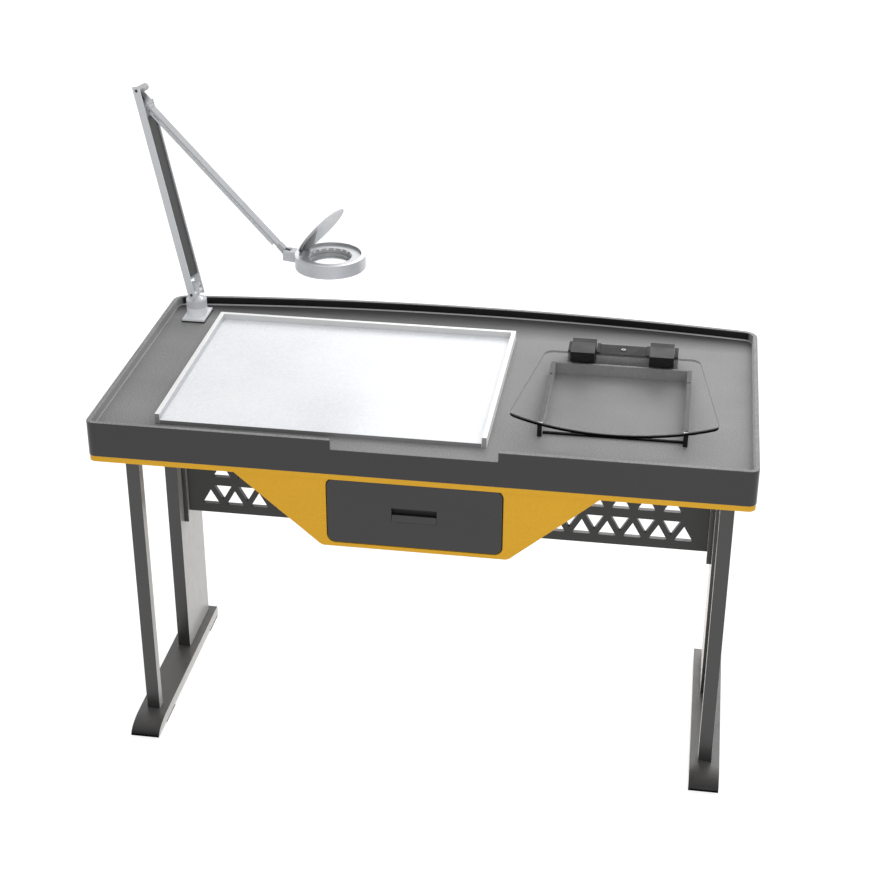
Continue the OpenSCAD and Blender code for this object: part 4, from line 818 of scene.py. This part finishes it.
def lathe(bm, profile, place, hollow=False):
    """Turns a profile of (radius, height, sides) round the place's Z; 0 sides is round."""
    rings = []
    for radius, height, sides in profile:
        ring = []
        for step in range(LATHE_STEPS):
            angle = 2 * math.pi * step / LATHE_STEPS
            reach = radius
            if sides:
                half = math.pi / sides
                reach *= math.cos(half) / math.cos(angle % (2 * half) - half)
            spot = Vector((reach * math.cos(angle), reach * math.sin(angle), height))
            ring.append(bm.verts.new(place @ spot))
        rings.append(ring)
    for lower, upper in zip(rings, rings[1:] + rings[:1] * hollow):
        for step in range(LATHE_STEPS):
            after = (step + 1) % LATHE_STEPS
            bm.faces.new((lower[step], lower[after], upper[after], upper[step]))
    if not hollow:
        bm.faces.new(rings[0][::-1])
        bm.faces.new(rings[-1])


# A cap screw's measures, as shares of its head, and the sides of its socket
SHANK_SHARE = 0.5
EDGE_SHARE = 0.15
EDGE_CURVE = 0.3
MOUTH_SHARE = 0.56
SOCKET_SHARE = 0.5
SOCKET_FLOOR = 0.35
HEXAGON = 6


def socket_screw(bm, place, radius, head, shank):
    """A cap screw with a hexagon socket; the place is the underside of its head."""
    edge = radius * EDGE_SHARE
    stem = radius * SHANK_SHARE
    socket = radius * SOCKET_SHARE
    lathe(bm, [(stem, -shank, 0), (stem, 0, 0), (radius, 0, 0), (radius, head - edge, 0),
               (radius - edge * EDGE_CURVE, head - edge * EDGE_CURVE, 0), (radius - edge, head, 0),
               (radius * MOUTH_SHARE, head, HEXAGON), (socket, head - edge, HEXAGON),
               (socket, head * SOCKET_FLOOR, HEXAGON)], place)


RIBS = 6
RIB_SHARE = 0.55
RIB_PROUD = 0.6 * MM
RIB_SUNK = 0.6 * MM
RIB_LENGTH = 10 * MM
RIB_DROP = 8 * MM
RIB_ROUND = 0.5 * MM


def make_knuckle_ribs(side):
    """Upright ribs on the front face of a hinge block."""
    low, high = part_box("knuckle_" + side)
    pitch = (high.x - low.x) / RIBS
    size = (pitch * RIB_SHARE, RIB_PROUD + RIB_SUNK, RIB_LENGTH)
    bm = bmesh.new()
    for rib in range(RIBS):
        middle = Vector((low.x + (rib + 0.5) * pitch, low.y + (RIB_SUNK - RIB_PROUD) / 2,
                         high.z - RIB_DROP - RIB_LENGTH / 2))
        block(bm, size, Matrix.Translation(middle), RIB_ROUND)
    piece("knuckle_ribs_" + side, bm, HINGE_DARK, "cover")


HINGE_SCREW_HEAD = 4.2 * MM


def make_hinge_screw():
    low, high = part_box("hinge_screw")
    middle = (low + high) / 2
    bm = bmesh.new()
    seat = Vector((middle.x, middle.y, high.z - HINGE_SCREW_HEAD))
    socket_screw(bm, Matrix.Translation(seat), (high.x - low.x) / 2, HINGE_SCREW_HEAD, seat.z - low.z)
    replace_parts(piece("hinge_cap_screw", bm, BRIGHT, "bench"), "hinge_screw")


TRAY_SCREW_HEAD = 1.8 * MM
TRAY_SCREW_D = 6 * MM


def make_tray_screws():
    low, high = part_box("tray_screws")
    radius = TRAY_SCREW_D / 2
    bm = bmesh.new()
    for x in (low.x + radius, high.x - radius):
        for y in (low.y + radius, high.y - radius):
            seat = Vector((x, y, high.z - TRAY_SCREW_HEAD))
            socket_screw(bm, Matrix.Translation(seat), radius, TRAY_SCREW_HEAD, seat.z - low.z)
    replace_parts(piece("rail_screws", bm, BLACK, "bench"), "tray_screws")


CHIPS = 18
CHIP_SIZE = Vector((1.2, 5.0, 3.0)) * MM
CHIP_OUT = 0.3 * MM
CHIP_UP = 7.5 * MM
CHIP_ROUND = 0.3 * MM


def make_chips():
    """The row of small lights round the bore, above the ring that holds the lens."""
    low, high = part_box("lens")
    middle = (low + high) / 2
    radius = (high.x - low.x) / 2
    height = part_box("lens_retainer")[1].z + CHIP_UP
    bm = bmesh.new()
    for chip in range(CHIPS):
        turn = Matrix.Rotation(2 * math.pi * (chip + 0.5) / CHIPS, 4, "Z")
        place = Matrix.Translation((middle.x, middle.y, height)) @ turn
        block(bm, CHIP_SIZE, place @ Matrix.Translation((radius - CHIP_OUT, 0, 0)), CHIP_ROUND)
    piece("bore_lights", bm, CHIP, "head")


ROCKER_TILT = math.radians(8)
ROCKER_FACE = 5 * MM
MARK_OUT = 3.0 * MM
MARK_T = 0.3 * MM
MARK_ROUND = 0.1 * MM
ON_WIDTH = 0.8 * MM
ON_HEIGHT = 3.0 * MM
OFF_INNER = 0.9 * MM
OFF_OUTER = 1.5 * MM


def make_rocker_marks():
    """A bar and a ring, for on and off, on the two faces of the rocker."""
    pivot = Matrix.Translation(JOINTS["power_rocker"]["pos_m"]) @ Matrix.Rotation(ROCKER_TILT, 4, "X")
    out = ROCKER_FACE + MARK_OUT * math.tan(ROCKER_TILT)
    half = MARK_T / 2
    bm = bmesh.new()
    upper = pivot @ Matrix.Translation((0, out, MARK_OUT)) @ Matrix.Rotation(-ROCKER_TILT, 4, "X")
    block(bm, (ON_WIDTH, MARK_T, ON_HEIGHT), upper, MARK_ROUND)
    lower = pivot @ Matrix.Translation((0, out, -MARK_OUT)) @ Matrix.Rotation(ROCKER_TILT, 4, "X")
    lathe(bm, [(OFF_INNER, -half, 0), (OFF_OUTER, -half, 0), (OFF_OUTER, half, 0), (OFF_INNER, half, 0)],
          lower @ Matrix.Rotation(math.radians(-90), 4, "X"), hollow=True)
    piece("rocker_marks", bm, WHITE, "rocker")


SHELL = shell_finish()
RAIL = rail_finish()
TRAY_WALL = painted_top_light("tray_wall_grain", grey(128), grey(128), rough=0.4)
YELLOW = powder_coat("yellow_coat", srgb(216, 163, 34), rough=0.42).set(Specular_IOR_Level=0.3)
LEG_COAT = leg_finish()
FOOT_COAT = foot_finish()
PANEL_COAT = powder_coat("panel_coat", grey(36), rough=0.36)
DRAWER_DARK = moulded("drawer_grain", grey(42), rough=0.4)
STEEL = brushed("steel_sheet", grey(170), rough=0.38, stretch=(3, 40, 40))
WHITE_FRAME = frame_finish()
WHITE = moulded("white_plastic", grey(236), rough=0.35, spread=0.03, dent=FAINT_DENT)
OPAL = opal_finish()
SILVER = moulded("satin_silver", srgb(200, 202, 205), spread=0.03, dent=SMOOTH_DENT).set(Metallic=0.2)
BASE_SILVER = moulded("base_silver", srgb(226, 228, 232), spread=0.03, dent=FAINT_DENT)
ARM_SILVER = arm_finish()
SILVER_HEAD = head_finish()
SILVER_NECK = moulded("silver_neck", srgb(190, 192, 196), rough=0.4, spread=0.04, dent=FAINT_DENT)
SILVER_LID = lid_finish()
ARM_DARK = moulded("arm_dark", grey(70), rough=0.5).set(Specular_IOR_Level=0.3)
HINGE_DARK = moulded("hinge_dark", grey(20), rough=0.65).set(Specular_IOR_Level=0.2)
SILL_BLACK = moulded("sill_black", grey(5), rough=0.65).set(Specular_IOR_Level=0.1)
HINGE_BLOCK = knuckle_finish()
HINGE_BAR = bar_finish()
BLACK = moulded("black_plastic", grey(22), rough=0.45)
RUBBER = rubber("black_rubber", grey(20))
BRIGHT = brushed("bright_steel", grey(130), rough=0.25, metallic=1.0)
CHIP = moulded("light_chip", grey(232), rough=0.4, spread=0.04)
LIGHT = moulded("light_strip", srgb(245, 243, 232), rough=0.5, spread=0.03)
GLASS = glass_finish()
LENS = clear_finish("clear_lens", srgb(235, 240, 240), alpha=0.16,
                    side=srgb(210, 220, 220), side_alpha=0.5)
COVER = clear_finish("clear_cover", grey(240), alpha=0.45, side=grey(225), side_alpha=0.6)

make_camera()
make_world()
make_floor()
soft_box("key", place=(1.6, 1.3, 2.4), target=(0.1, 0.0, 0.7), size=(2.4, 2.0), power=14)
soft_box("back", place=(0.9, 3.6, 2.45), target=(0.1, 0.0, 0.75), size=(4.0, 2.4), power=96)
soft_box("front", place=(0.6, -3.2, 1.6), target=(0.0, 0.0, 0.6), size=(2.4, 1.6), power=28)

# The bench top, its drawer and its light panel
dress("top_shell", SHELL, 2.4, 3)
dress("base_pan drawer_housing", YELLOW, 0.6)
dress("fascia", YELLOW, 1.2, 3)
dress("drawer_front", DRAWER_DARK, 1.2, 3)
dress("drawer_pull", DRAWER_DARK, 0.6)
dress("runner_left runner_right drawer_slides drawer_box", STEEL, 0.4)
dress("light_frame", WHITE_FRAME, 0.8, 3)
dress("diffuser", OPAL, 0.5)
dress("light_tray", WHITE, 0.4)
dress("light_strips", LIGHT, 0.3)
dress("power_supply", STEEL, 1.0)
dress("power_inlet", BLACK, 0)
dress("power_switch", BLACK, 0.4)

# The specimen tray and its cover
dress("tray_rails", RAIL, 0.5)
dress("tray_sill", SILL_BLACK, 0.4)
dress("tray_back", TRAY_WALL, 0.5)
dress("tray_pads", WHITE, 0.3)
dress("tray_screws", BLACK, 0)
dress("hinge_bar", HINGE_BAR, 0.5)
dress("clamp_plates", HINGE_DARK, 0.5)
dress("hinge_pin clamp_screws", BRIGHT, 0.3)
dress("hinge_screw", BRIGHT, 0)
dress("knuckle_left knuckle_right", HINGE_BLOCK, 0.7, 3)
dress("cover_glass", GLASS, 0)

# The magnifier lamp
dress("lamp_pad", RUBBER, 0.4)
dress("lamp_base", BASE_SILVER, 0.5)
dress("swivel_post lower_arm arm_rod", SILVER, 0.5)
dress("upper_arm", ARM_SILVER, 0.5)
dress("arm_cover", ARM_DARK, 0.5)
dress("arm_pins", BLACK, 0.2)
dress("head_pins", SILVER, 0.2)
dress("head_ring", SILVER_HEAD, 0.6, 3)
dress("neck_block", SILVER_NECK, 0.6, 3)
dress("lens_lid", SILVER_LID, 0.4)
dress("lens_retainer", SILVER_HEAD, 0.2)
dress("led_ring", LIGHT, 0)
dress("led_cover", COVER, 0)
dress("lens", LENS, 0)

# The legs and the back panel
dress("foot_left foot_right", FOOT_COAT, 1.0)
dress("front_leg_left front_leg_right rear_post_left rear_post_right", LEG_COAT, 1.5, 3)
dress("foot_pads", RUBBER, 0.6)
dress("rail_bolts", BRIGHT, 0.3)
dress("back_panel", PANEL_COAT, 0)
dress("bracket_left bracket_right", LEG_COAT, 0.8)
dress("top_rail_left top_rail_right", STEEL, 0.4)

make_knuckle_ribs("left")
make_knuckle_ribs("right")
make_hinge_screw()
make_tray_screws()
make_chips()
make_rocker_marks()

bpy.context.scene.view_settings.view_transform = "Standard"
